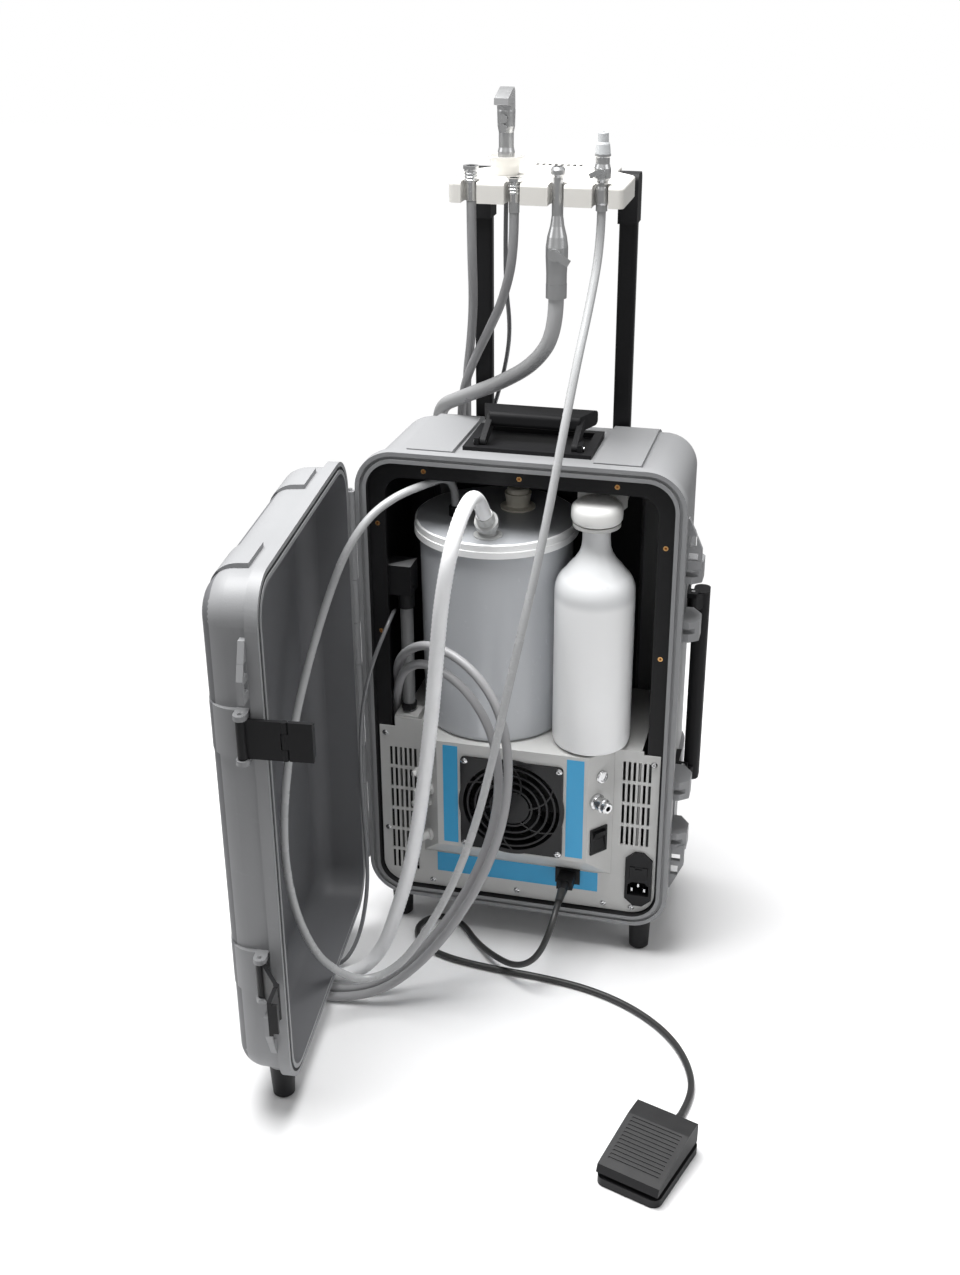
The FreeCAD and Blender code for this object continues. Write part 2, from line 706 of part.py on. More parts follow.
def make_latch(name, sign, link_turn, lever_turn):
    """A latch of two plates: a link on the lid's lugs, and a hooked lever at the link's end."""
    mid = f"({MIDDLE} {sign} band_pitch_up/2)"
    low, high = f"{mid} - latch_half_height", f"{mid} + latch_half_height"
    face = "(rim_width + hinge_offset + 2)"
    joint_y = "18"
    joint_x = f"({face} + latch_plate/2)"
    knuckle = rod(name + "_eye", "Z", "4.4", low, high, PIN_X, PIN_Y)
    strap = box(name + "_strap", (face, f"{face} + latch_plate"), (PIN_Y, f"{joint_y} - 3.4"), (low, high))
    ears = [rod(name + "_ear", "Z", "3", low, f"{mid} - 8", joint_x, joint_y),
            rod(name + "_ear", "Z", "3", f"{mid} + 8", high, joint_x, joint_y)]
    arms = [box(name + "_arm", (face, f"{face} + latch_plate"), (f"{joint_y} - 5", joint_y),
            (low, f"{mid} - 8")),
            box(name + "_arm", (face, f"{face} + latch_plate"), (f"{joint_y} - 5", joint_y),
                    (f"{mid} + 8", high))]
    bores = [rod(name + "_bore", "Z", "latch_pin_radius + running_clearance", low, high, PIN_X, PIN_Y),
             rod(name + "_bore", "Z", "1.5", low, high, joint_x, joint_y)]
    link_plate = cut(name + "_link_cut", fuse(name + "_link_form", knuckle, strap, *ears, *arms), *bores)
    rivet = rod(name + "_rivet", "Z", "1.5", low, high, joint_x, joint_y)

    inner_low, inner_high = f"{mid} - 7.6", f"{mid} + 7.6"
    eye = rod(name + "_lever_eye", "Z", "3", inner_low, inner_high, joint_x, joint_y)
    neck = box(name + "_neck", (face, f"{face} + latch_plate"), (joint_y, f"{joint_y} + 6"),
            (inner_low, inner_high))
    plate = box(name + "_plate", (face, f"{face} + latch_plate"),
            (f"{joint_y} + 3.6", f"{joint_y} + latch_lever_length"), (low, high))
    hook = box(name + "_hook", (f"{face} - 5", f"{face} + 1"),
               (f"{joint_y} + latch_lever_length - 3", f"{joint_y} + latch_lever_length"),
                       (f"{mid} - hook_half_height", f"{mid} + hook_half_height"))
    hole = rod(name + "_lever_bore", "Z", "1.5 + running_clearance", low, high, joint_x, joint_y)
    lever = cut(name + "_lever_cut", fuse(name + "_lever_form", eye, neck, plate, hook), hole)

    def swing(obj, x, y, angle):
        point = V(num(x), num(y), 0)
        turn = FreeCAD.Rotation(Z_AXIS, angle)
        obj.Placement = FreeCAD.Placement(point - turn.multVec(point), turn).multiply(obj.Placement)

    linked = doc.addObject("Part::Compound", name + "_pair")
    linked.Links = [link_plate, rivet]
    swing(lever, joint_x, joint_y, lever_turn)
    for part in (linked, lever):
        swing(part, PIN_X, PIN_Y, link_turn)
    on_lid(name + "_link", linked)
    on_lid(name + "_lever", lever)


# ---------------------------------------------------------------- running gear
def make_running_gear():
    foot = [turned("front_foot", [("0", "0"), ("foot_radius - 2", "0"), ("foot_radius", "2"),
                                  ("foot_radius + 1.5", "rim_bottom"), ("0", "rim_bottom")],
                   (f"{s}foot_across/2", "foot_back", "0")) for s in ("-", "")]
    group("case_feet", foot)
    axles = [rod("hinge_pin", "Z", "hinge_pin_radius", "hinge_start - 2", "hinge_start + 9*knuckle_pitch + 2",
            HINGE_X, "0")]
    for side, s in (("left", "-"), ("right", "")):
        x = wheel_x(s)
        axles.append(rod("axle", "X", "axle_radius", f"{x} - wheel_width/2 - 6.8",
                f"{x} + wheel_width/2 + 6.8",
                         "wheel_back", "wheel_radius"))
        half, bore = "wheel_width/2", "axle_radius + running_clearance"
        wheel = turned("wheel_" + side, [(bore, f"-{half} - 1"), ("11", f"-{half} - 1"),
                ("12", f"-{half} + 4"),
                                         ("wheel_radius - 9", f"-{half} + 5"), ("wheel_radius - 8",
                                                 f"-{half} + 1"),
                                         ("wheel_radius - 3", f"-{half}"), ("wheel_radius", f"-{half} + 6"),
                                         ("wheel_radius", f"{half} - 6"), ("wheel_radius - 3", half),
                                         ("wheel_radius - 8", f"{half} - 1"), ("wheel_radius - 9",
                                                 f"{half} - 5"),
                                         ("12", f"{half} - 4"), ("11", f"{half} + 1"), (bore, f"{half} + 1")])
        wheel.Placement = FreeCAD.Placement(V(0, 0, 0), TURNS["X"])
        place(wheel, x, "wheel_back", "wheel_radius")
        piece("wheel_" + side, wheel)
    return axles


def make_side_handles():
    """The carrying handles on the top and on the free side: brackets and hinged grips."""
    back, length = "top_handle_back", "top_handle_length"
    floor = TOP_SEAT
    frame = box("top_frame", (f"-{length}/2 - 4", f"{length}/2 + 4"), (f"{back} - 40", f"{back} + 40"),
            (floor, f"{floor} + 6.5"))
    well = box("top_frame_well", (f"-{length}/2 + 5", f"{length}/2 - 5"), (f"{back} - 32", f"{back} + 32"),
               (f"{floor} + 1.5", f"{floor} + 10"))
    inner = f"({length}/2 - 9)"
    posts = [box("top_pivot", (f"{s}{inner} - 2.5", f"{s}{inner} + 2.5"), (f"{back} - 34", f"{back} - 20"),
                 (f"{floor} + 1", f"{floor} + 14")) for s in ("-", "")]
    pivot_y, pivot_z = f"{back} - 27", f"{floor} + 9"
    bore = rod("top_pivot_bore", "X", "2", f"-{length}/2", f"{length}/2", pivot_y, pivot_z)
    brackets = [cut("top_bracket", fuse("top_bracket_form", cut("top_tray", frame, well), *posts), bore)]
    pins = [rod("top_pin", "X", "2", f"{s}{inner} - 8.5", f"{s}{inner} + 4", pivot_y, pivot_z)
            for s in ("", )]
    pins.append(rod("top_pin", "X", "2", f"-{inner} - 4", f"-{inner} + 8.5", pivot_y, pivot_z))
    grip_y, grip_z = f"{back} + 14", f"{floor} + 25"
    arms = []
    for s in ("-", ""):
        x = f"{s}({length}/2 - 15)"
        start, end = (num(x), num(pivot_y), num(pivot_z)), (num(x), num(grip_y), num(grip_z))
        arms += [rod("top_arm_eye", "X", "5", f"{x} - 3", f"{x} + 3", pivot_y, pivot_z),
                shaped("top_arm", arm_between(start, end, 5, 7))]
    grip = new_body("top_grip")
    points = [(f"-{length}/2 + 2", f"{grip_y} + 17"), (f"-{length}/2 + 16", f"{grip_y} - 17"),
            (f"{length}/2 - 16", f"{grip_y} - 17"),
              (f"{length}/2 - 2", f"{grip_y} + 17")]
    pad(grip, polygon(grip, "top_grip_outline", "XY_Plane", points, f"{grip_z} - 8"), "16")
    fillet(grip, "5", lambda e: along(e, X_AXIS))
    hole = rod("top_arm_bore", "X", "2 + running_clearance", f"-{length}/2", f"{length}/2", pivot_y, pivot_z)
    piece("top_handle", cut("top_handle_form", fuse("top_handle_solid", grip, *arms), hole))

    side, back = "(rim_width/2 - shell_inset)", "side_handle_back"
    x, y = f"{side} + 8.5", f"{back} - 11"
    arms = []
    for s in "-+":
        z = side_mount_z(s)
        cup = box("side_mount", (SIDE_SEAT, f"{side} + 3"), (f"{back} - 20", f"{back} + 20"),
                (f"{z} - 16", f"{z} + 16"))
        ears = [box("side_ear", (f"{side} + 2", f"{side} + 13"), (f"{back} - 18", f"{back} - 4"),
                (f"{z} {t} 12 - 2.5", f"{z} {t} 12 + 2.5"))
                for t in "-+"]
        bore = rod("side_bore", "Z", "2", f"{z} - 20", f"{z} + 20", x, y)
        brackets.append(cut("side_bracket", fuse("side_mount_form", cup, *ears), bore))
        pins.append(rod("side_pin", "Z", "2", f"{z} - 15", f"{z} + 15", x, y))
        arms.append(rod("side_eye", "Z", "5", f"{z} - 9", f"{z} + 9", x, y))
        start, end = (num(x), num(y), num(z)), (num(side) + 16, num(back) + 10, num(z))
        arms.append(shaped("side_arm", arm_between(start, end, 5, 7, 16)))
    grip = rounded("side_grip", box("side_grip_bar", (f"{side} + 7", f"{side} + 24"),
            (f"{back} - 1", f"{back} + 23"),
                                    (f"{MIDDLE} - side_handle_length/2 + 2",
                                            f"{MIDDLE} + side_handle_length/2 - 2")),
                   "7.5", lambda e: along(e, Z_AXIS))
    hole = rod("side_handle_bore", "Z", "2 + running_clearance", f"{MIDDLE} - 200", f"{MIDDLE} + 200", x, y)
    piece("side_handle", cut("side_handle_form", fuse("side_handle_solid", grip, *arms), hole))
    group("handle_brackets", brackets)
    return pins


def arm_between(first, second, r_first, r_second, width=6):
    """A flat arm with round ends: the hull of two discs, along X or along Z."""
    a, b = V(*first), V(*second)
    flat = X_AXIS if abs(b.x - a.x) < 1e-9 else Z_AXIS
    run = (b - a).normalize()
    side = flat.cross(run)
    corners = [a + side*r_first, b + side*r_second, b - side*r_second, a - side*r_first]
    face = Part.Face(Part.makePolygon(corners + corners[:1]))
    return face.translated(flat*(-width/2)).extrude(flat*width)


def make_telescope():
    """Outer tubes in the back recess, and the sliding posts with their grip."""
    half_w, half_t = "post_width/2", "post_thick/2"
    wall, gap = "tube_wall", "slide_clearance"
    tubes, posts, collars = [], [], []
    tube_low, tube_high = "rim_bottom + 8", "rim_bottom + rim_height - 30"
    for s in ("-", ""):
        x = f"{s}post_spacing/2"
        outer = box("tube_outer", (f"{x} - {half_w} - {gap} - {wall}", f"{x} + {half_w} + {gap} + {wall}"),
                    (f"post_back - {half_t} - {gap} - {wall}", f"post_back + {half_t} + {gap} + {wall}"),
                            (tube_low, tube_high))
        hole = box("tube_hole", (f"{x} - {half_w} - {gap}", f"{x} + {half_w} + {gap}"),
                   (f"post_back - {half_t} - {gap}", f"post_back + {half_t} + {gap}"),
                           (f"{tube_low} + 3", f"{tube_high} + 1"))
        tubes.append(cut("handle_tube", outer, hole))
        posts.append(rounded("handle_post", box("post_bar", (f"{x} - {half_w}", f"{x} + {half_w}"),
                     (f"post_back - {half_t}", f"post_back + {half_t}"), ("tray_top - 500", "post_top")), "3",
                             lambda e: along(e, Z_AXIS)))
    cover = box("tube_clamp", ("-recess_width/2 + 0.3", "recess_width/2 - 0.3"),
            ("case_depth - recess_depth", "case_depth"),
                (f"{tube_high} - 24", tube_high))
    low_cover = box("tube_foot_clamp", ("-recess_width/2 + 0.3", "recess_width/2 - 0.3"),
            ("case_depth - recess_depth", "case_depth"),
                    ("rim_bottom + 4", "rim_bottom + 30"))
    reach = [box("clamp_slot", (f"{s}post_spacing/2 - {half_w} - {gap} - {wall}",
            f"{s}post_spacing/2 + {half_w} + {gap} + {wall}"),
                 (f"post_back - {half_t} - {gap} - {wall}", f"post_back + {half_t} + {gap} + {wall}"),
                         (tube_low, f"{tube_high} + 1"))
             for s in ("-", "")]
    slots = fuse("clamp_slots", *reach)
    group("handle_guides", tubes + [cut("upper_clamp", cover, slots), cut("lower_clamp", low_cover, slots)])

    knuckle_low = "handle_top - 50"
    ends = []
    for s in ("-", ""):
        x = f"{s}post_spacing/2"
        body = box("knuckle", (f"{x} - knuckle_width/2", f"{x} + knuckle_width/2"),
                ("post_back - 13", "post_back + 13"), (knuckle_low, "handle_top"))
        ends.append(rounded("knuckle_round", body, "8", lambda e: along(e, X_AXIS)
                and e.BoundBox.ZMin > num("handle_top") - 1))
    bar = rounded("grip_bar", box("grip_block", ("-post_spacing/2", "post_spacing/2"),
            ("post_back - 8", "post_back + 8"),
                                  ("handle_top - 24", "handle_top - 1.5")), "6", lambda e: along(e, X_AXIS))
    seat = [box("post_seat", (f"{s}post_spacing/2 - {half_w}", f"{s}post_spacing/2 + {half_w}"),
                (f"post_back - {half_t}", f"post_back + {half_t}"), ("handle_top - 60", "post_top"))
                        for s in ("-", "")]
    button_hole = rod("button_hole", "Z", "7.4", "handle_top - 30", "handle_top - 12", "0", "post_back")
    group("handle_posts", posts)
    piece("handle_grip", cut("grip_cut", fuse("grip_form", bar, *ends), *seat, button_hole))
    piece("release_button", turned("release_button", [("0", "-7"), ("6", "-7"), ("7", "-6"), ("7", "8"),
            ("0", "8")],
                                   ("0", "post_back", "handle_top - 24")))


# ---------------------------------------------------------------- chassis
def wedge(name, front, back, half_front, half_back, top, foot, fold):
    """The bay's form: a front face that widens towards the panel on its sides and below."""
    obj = doc.addObject("Part::Wedge", name)
    links = {"Ymin": front, "Ymax": back, "Xmin": f"-({half_front})", "Xmax": half_front,
             "X2min": f"-({half_back})", "X2max": half_back, "Zmin": foot, "Zmax": top, "Z2min": fold,
                     "Z2max": top}
    for side, text in links.items():
        obj.setExpression(side, link(text))
    return obj


def vent(name, x, top, rows):
    """A field of upright slots, six across."""
    slots = []
    for row in range(rows):
        for column in range(6):
            left = f"{x} + {column}*slot_pitch_across"
            high = f"{top} - {row}*slot_pitch_up"
            slots.append(box(name, (left, f"{left} + slot_width"), ("panel_front - 2", "panel_front + 6"),
                             (f"{high} - slot_height", high)))
    return slots


def on_slant(side, share, out):
    """A point on the bay's slanted side face: share runs from its front edge, out along its normal."""
    run = V(num("bay_half_back - bay_half_front"), num("panel_front + sheet_metal - bay_front"), 0)
    normal = V(run.y, -run.x, 0).normalize()
    point = V(num("bay_half_front"), num("bay_front"), 0) + run*share + normal*out
    return V(side*point.x, point.y, 0)


def slant_turn(side):
    """The turn that sets a piece's X upright and its Z along the slanted face's normal."""
    run = V(num("bay_half_back - bay_half_front"), num("panel_front + sheet_metal - bay_front"), 0)
    normal = V(side*run.y, -run.x, 0).normalize()
    return FreeCAD.Rotation(Z_AXIS, normal.cross(Z_AXIS), normal, "ZXY")


def set_on_slant(obj, side, share, out, height):
    point = on_slant(side, share, out)
    obj.Placement = FreeCAD.Placement(V(point.x, point.y, height), slant_turn(side))
    return obj


def make_chassis():
    gap, wide = "(opening_inset + ring_gap)", "ring_width"
    front, back = "panel_front + sheet_metal", "panel_front + sheet_metal + ring_thick"
    ring = tub("ring_outer", gap, "ring_thick", f"rim_corner - {gap}", "0", start=f"-({front})")
    hole = tub("ring_hole", f"{gap} + {wide}", "ring_thick + 10", f"rim_corner - {gap} - {wide} + 8", "0",
            start=f"-({front}) + 5")
    middle_row = f"({gap} + {wide}/2)"
    top_row, low_row = f"rim_bottom + rim_height - {middle_row}", f"rim_bottom + {middle_row}"
    spots = [(x, top_row) for x in ("-100", "0", "100")]
    spots += [(f"{s}insert_across/2", f"{MIDDLE} + {z}") for s in ("-", "") for z in ("188", "64")]
    bores = [rod("insert_bore", "Y", "2.6", f"{front} - 1", f"{back} + 1", x, z) for x, z in spots]
    inserts = []
    for x, z in spots:
        plug = rod("insert", "Y", "2.6", f"{front} - 0.4", back, x, z)
        inserts.append(cut("ring_insert", plug, rod("insert_thread", "Y", "1.3", f"{front} - 1",
                f"{back} - 1", x, z)))
    way = box("inlet_way", ("124.8", "153.2"), ("-10", "60"), ("rim_bottom + 32.9", "rim_bottom + 87.1"))
    piece("panel_ring", cut("ring_cut", ring, hole, way, *bores))

    edge = "(rim_width/2 - opening_inset - 3)"
    plate = new_body("panel_plate")
    low = "rim_bottom + opening_inset + 1.6"
    pad(plate, rounded_outline(plate, "panel_plate_outline", "XZ_Plane", (f"-{edge}", edge),
            (low, "deck_height + 40"),
                               "rim_corner - opening_inset - 3", "-panel_front"), "sheet_metal",
                                       backwards=True)
    above = box("panel_above", (f"-{edge} - 1", f"{edge} + 1"), ("0", "20"),
            ("deck_height - 4", "deck_height + 60"))
    shoulders = [box("panel_shoulder", (f"{s}(bay_half_back + 14.5) - 15.5",
            f"{s}(bay_half_back + 14.5) + 15.5"),
                     ("panel_front", "panel_front + sheet_metal"), ("deck_height - 6", high))
                 for s, high in (("-", "deck_height + 8"), ("", "deck_height"))]
    bay = wedge("bay_outer", "bay_front", "panel_front + sheet_metal", "bay_half_front", "bay_half_back",
                "deck_height", "bay_foot", "bay_fold")
    hollow = wedge("bay_inner", "bay_front + sheet_metal", "panel_front + sheet_metal + 0.01",
            "bay_half_front - 1",
                   "bay_half_back - 1.2", "deck_height - sheet_metal", "bay_foot + 1", "bay_fold + 1.2")
    fan_hole = rod("fan_opening", "Y", "fan_size/2 - 4", "bay_front - 1", "bay_front + 5", "0", "fan_height")
    slots = vent("left_slot", "-146", "rim_bottom + 192", 6) + vent("right_slot", "117", "rim_bottom + 208",
            4)
    inlet_hole = box("inlet_hole", ("125", "153"), ("0", "20"), ("rim_bottom + 33", "rim_bottom + 87"))
    switch_hole = on_slant_block("switch_hole", 29, 20, 12, -6)
    socket_hole = box("plug_socket_hole", ("48", "70"), ("panel_front - 2", "panel_front + 8"),
            ("rim_bottom + 45", "rim_bottom + 59"))
    blank = box("bay_mouth", ("-bay_half_back + 1.2", "bay_half_back - 1.2"),
            ("panel_front - 0.01", "panel_front + 5"),
                ("bay_fold + 1.2", "deck_height - sheet_metal"))
    sheet_form = fuse("panel_form", cut("panel_wings", plate, above), *shoulders, bay)
    piece("front_panel", cut("panel_cut", sheet_form, blank, hollow, fan_hole, *slots, inlet_hole,
            switch_hole, socket_hole))
    make_chassis_box(way)
    make_fan()
    make_inlet()
    make_switch()
    make_ports()
    return inserts + panel_screws()


def on_slant_block(name, tall, wide, deep, out):
    """A block centred on the switch's place on the slanted face, its near side at a distance out."""
    obj = doc.addObject("Part::Box", name)
    obj.Length, obj.Width, obj.Height = tall, wide, deep
    turn = slant_turn(1)
    point = on_slant(1, 0.42, out)
    obj.Placement = FreeCAD.Placement(V(point.x, point.y, num("rim_bottom + 114.5"))
            - turn.multVec(V(tall/2, wide/2, 0)), turn)
    return obj


def make_chassis_box(way):
    """The folded box behind the panel, with the deck that carries the tank and the bottle."""
    side = "(bay_half_back + 27)"
    start = "panel_front + sheet_metal + 0.1"
    outer = box("box_outer", (f"-{side}", side), (start, "wheel_back - wheel_radius - 12"),
                ("rim_bottom + opening_inset + 24", "deck_height - sheet_metal - 0.05"))
    inner = box("box_inner", (f"-{side} + sheet_metal", f"{side} - sheet_metal"),
            ("0", "wheel_back - wheel_radius - 12 - sheet_metal"),
                ("rim_bottom + opening_inset + 24 + sheet_metal", "deck_height"))
    folded = cut("chassis_box", outer, inner, way)
    deck = box("deck_plate", (f"-{side} - 0.5", f"{side} + 0.5"), (start, "deck_back"),
            ("deck_height - sheet_metal", "deck_height"))
    lip = box("deck_lip", (f"-{side} - 0.5", f"{side} + 0.5"), ("deck_back - sheet_metal", "deck_back"),
            ("deck_height - 24", "deck_height"))
    turret = box("deck_turret", ("-139", "-113"), (start, "34"), ("deck_height - 0.5", "deck_height + 10"))
    hole = rod("turret_hole", "Z", "7.2", "deck_height - 5", "deck_height + 12", RISER[0], RISER[1])
    group("chassis", [folded, cut("deck_cut", fuse("deck_form", deck, lip, turret), hole)])


RISER = ("-127", "24")


def screw_head(name, radius, height):
    """A domed head, drawn downwards from its seat."""
    return turned(name, [("0", f"-{height}"), (f"{radius}*0.6", f"-{height}*0.86"),
            (radius, f"-{height}*0.3"),
                         (radius, "0"), ("0", "0")])


def panel_screws():
    places = [("-150.5", "rim_bottom + 209"), ("-150.5", "rim_bottom + 85"), ("-99", "rim_bottom + 21"),
            ("0", "rim_bottom + 22"),
              ("100", "rim_bottom + 21"), ("132", "rim_bottom + 20.5"), ("150.5", "rim_bottom + 208")]
    screws = []
    for x, z in places:
        screw = screw_head("panel_screw", "3.4", "2.2")
        screw.Placement = FreeCAD.Placement(V(0, 0, 0), FreeCAD.Rotation(X_AXIS, -90))
        place(screw, x, "panel_front", z)
        screws.append(screw)
    return screws


def make_fan():
    half, pitch, mid = "guard_size/2", "fan_screw_pitch/2", "fan_height"
    front = "(bay_front - guard_thick)"
    plate = rounded("guard_plate", box("guard_square", (f"-{half}", half), (front, "bay_front"),
            (f"{mid} - {half}", f"{mid} + {half}")),
                    "5", lambda e: along(e, Y_AXIS))
    disc = rod("guard_disc", "Y", f"{half} + 2", front, "bay_front", "0", mid)
    opening = rod("guard_opening", "Y", f"{half} - 3", f"{front} - 1", "bay_front + 1", "0", mid)
    rings = []
    for i in range(4):
        outer = f"({half} - 7 - {i}*8.6)"
        rings.append(cut("guard_ring", rod("ring_out", "Y", outer, front, "bay_front", "0", mid),
                         rod("ring_in", "Y", f"{outer} - 2.2", f"{front} - 1", "bay_front + 1", "0", mid)))
    hub = rod("guard_hub", "Y", "20", front, "bay_front", "0", mid)
    spokes = [shaped("guard_spoke", curved_spoke(18, num(half) - 1, 360*i/6, 34, 2.0, num(front),
            num("guard_thick"), num(mid)))
              for i in range(6)]
    piece("fan_guard", fuse("guard_web", cut("guard_frame", fuse("guard_form", plate, disc), opening), *rings,
            hub, *spokes))
    screws = []
    for a in ("-", ""):
        for b in ("-", "+"):
            screw = screw_head("guard_screw", "3.8", "2.4")
            screw.Placement = FreeCAD.Placement(V(0, 0, 0), FreeCAD.Rotation(X_AXIS, -90))
            place(screw, f"{a}{pitch}", front, f"{mid} {b} {pitch}")
            screws.append(screw)
    fasteners.extend(screws)
    frame_front = "(bay_front + sheet_metal)"
    body = rounded("fan_body", box("fan_square", ("-fan_size/2", "fan_size/2"),
            (frame_front, f"{frame_front} + fan_depth"),
                                   (f"{mid} - fan_size/2", f"{mid} + fan_size/2")), "4",
                                           lambda e: along(e, Y_AXIS))
    bore = rod("fan_bore", "Y", "fan_size/2 - 2.5", f"{frame_front} - 1", f"{frame_front} + fan_depth + 1",
            "0", mid)
    back_hub = rod("fan_back_hub", "Y", "19", f"{frame_front} + fan_depth - 3", f"{frame_front} + fan_depth",
            "0", mid)
    struts = [turned_block("fan_strut", ("fan_size/4 + 2", "1.5", "2"),
            (f"(fan_size/4 + 2)*{math.cos(math.radians(a))}",
              f"{frame_front} + fan_depth - 1.5", f"{mid} + (fan_size/4 + 2)*{math.sin(math.radians(a))}"),
                      Y_AXIS, -a) for a in (45, 135, 225, 315)]
    shaft = rod("fan_shaft", "Y", "2", f"{frame_front} + 8", f"{frame_front} + fan_depth - 2", "0", mid)
    piece("fan_frame", fuse("fan_form", cut("fan_duct", body, bore), back_hub, *struts, shaft))
    rotor_front, rotor_back = f"{frame_front} + 3", f"{frame_front} + fan_depth - 4"
    cup = rod("rotor_cup", "Y", "19", rotor_front, rotor_back, "0", mid)
    core = rod("rotor_core", "Y", "2 + running_clearance", f"{frame_front} + 6", f"{rotor_back} + 1", "0",
            mid)
    blades = []
    for i in range(7):
        angle = 360*i/7
        blade = turned_block("rotor_blade", ("(fan_size/2 - 5 - 16)/2", "8.2", "0.9"), ("0", "0", "0"),
                X_AXIS, 48)
        reach = num("(fan_size/2 - 5 + 16)/2")
        turn = FreeCAD.Rotation(Y_AXIS, -angle)
        middle = V(0, num(f"({rotor_front} + {rotor_back})/2"), num(mid)) + turn.multVec(V(reach, 0, 0))
        blade.Placement = FreeCAD.Placement(middle, turn).multiply(blade.Placement)
        blades.append(blade)
    piece("fan_rotor", cut("rotor_cut", fuse("rotor_form", cup, *blades), core))


def curved_spoke(inner, outer, angle, sweep, width, front, thick, height):
    """A flat spoke that curves as it goes out: the band between two arcs."""
    def at(radius, degrees):
        turn = math.radians(degrees)
        return V(radius*math.cos(turn), 0, radius*math.sin(turn))
    spread = [math.degrees(width/2/r) for r in (inner, (inner + outer)/2, outer)]
    turns = (angle, angle + sweep*0.42, angle + sweep)
    radii = (inner, (inner + outer)/2, outer)
    left = Part.Arc(*[at(r, t + d) for r, t, d in zip(radii, turns, spread)]).toShape()
    right = Part.Arc(*[at(r, t - d) for r, t, d in zip(radii, turns, spread)]).toShape()
    ends = [Part.makeLine(left.Vertexes[i].Point, right.Vertexes[i].Point) for i in (0, 1)]
    face = Part.Face(Part.Wire(Part.__sortEdges__([left, ends[1], right, ends[0]])))
    solid = face.extrude(V(0, thick, 0))
    solid.translate(V(0, front, height))
    return solid


def make_inlet():
    """The mains inlet with its fuse drawer above the pins."""
    x, low, high = "139", "rim_bottom + 25", "rim_bottom + 95"
    flange = new_body("inlet_flange")
    points = [(f"{x} - 15", f"{low} + 9"), (f"{x} - 5", low), (f"{x} + 5", low), (f"{x} + 15", f"{low} + 9"),
              (f"{x} + 15", f"{high} - 9"), (f"{x} + 5", high), (f"{x} - 5", high),
                      (f"{x} - 15", f"{high} - 9")]
    pad(flange, polygon(flange, "inlet_outline", "XZ_Plane", points, "-panel_front + 3"), "3", backwards=True)
    block = box("inlet_block", (f"{x} - 13.8", f"{x} + 13.8"), ("panel_front - 1", "panel_front + 28"),
            ("rim_bottom + 33.2", "rim_bottom + 86.8"))
    well = new_body("inlet_well")
    inner = [(f"{x} - 12", f"{low} + 14"), (f"{x} + 12", f"{low} + 14"), (f"{x} + 12", f"{low} + 27"),
             (f"{x} + 7", f"{low} + 31.5"), (f"{x} - 7", f"{low} + 31.5"), (f"{x} - 12", f"{low} + 27")]
    pad(well, polygon(well, "inlet_well_outline", "XZ_Plane", inner, "-panel_front + 4"), "20",
            backwards=True)
    drawer_hole = box("drawer_hole", (f"{x} - 10", f"{x} + 10"), ("panel_front - 4", "panel_front + 20"),
            (f"{low} + 38", f"{low} + 52"))
    blades = [box("inlet_pin", (f"{x} + {dx} - 1", f"{x} + {dx} + 1"),
            ("panel_front - 0.5", "panel_front + 17"),
                  (f"{low} + {dz} - 2", f"{low} + {dz} + 2")) for dx, dz in ((-7, 20), (7, 20), (0, 26))]
    piece("mains_inlet", fuse("inlet_whole", cut("inlet_form", fuse("inlet_solid", flange, block), well,
            drawer_hole), *blades))
    face = box("drawer_face", (f"{x} - 9.7", f"{x} + 9.7"), ("panel_front - 4", "panel_front + 0"),
            (f"{low} + 38.3", f"{low} + 51.7"))
    tray = box("drawer_tray", (f"{x} - 8.5", f"{x} + 8.5"), ("panel_front - 0.5", "panel_front + 17"),
            (f"{low} + 40", f"{low} + 50"))
    holes = [rod("fuse_space", "Y", "2.7", "panel_front + 1", "panel_front + 18", f"{x} {s} 4",
            f"{low} + 45") for s in "-+"]
    grip = box("drawer_notch", (f"{x} - 4", f"{x} + 4"), ("panel_front - 5", "panel_front - 3"),
            (f"{low} + 49", f"{low} + 52"))
    piece("fuse_drawer", cut("drawer_cut", fuse("drawer_form", face, tray), *holes, grip))


def make_switch():
    """The rocker switch on the bay's slanted face."""
    bezel = on_slant_block("switch_bezel", 32, 23, 1.8, 0.05)
    body = on_slant_block("switch_body", 28.6, 19.6, 16, -14)
    well = on_slant_block("switch_well", 26, 16.4, 12.2, -10)
    piece("switch_frame", cut("switch_cut", fuse("switch_form", bezel, body), well))
    rocker = new_body("rocker")
    points = [("-12.4", "1.0"), ("0", "-1.0"), ("12.4", "4.6"), ("11", "-5.2"), ("0", "-8.2"),
            ("-11", "-5.2")]
    pad(rocker, polygon(rocker, "rocker_outline", "XZ_Plane", points, "-7.8"), "15.6")
    doc.recompute()
    middle = V(0, num("7.8 - 7.8"), 0)
    point = on_slant(1, 0.42, 1.0)
    rocker.Placement = FreeCAD.Placement(V(point.x, point.y, num("rim_bottom + 114.5")) + middle,
            slant_turn(1))
    piece("switch_rocker", rocker)


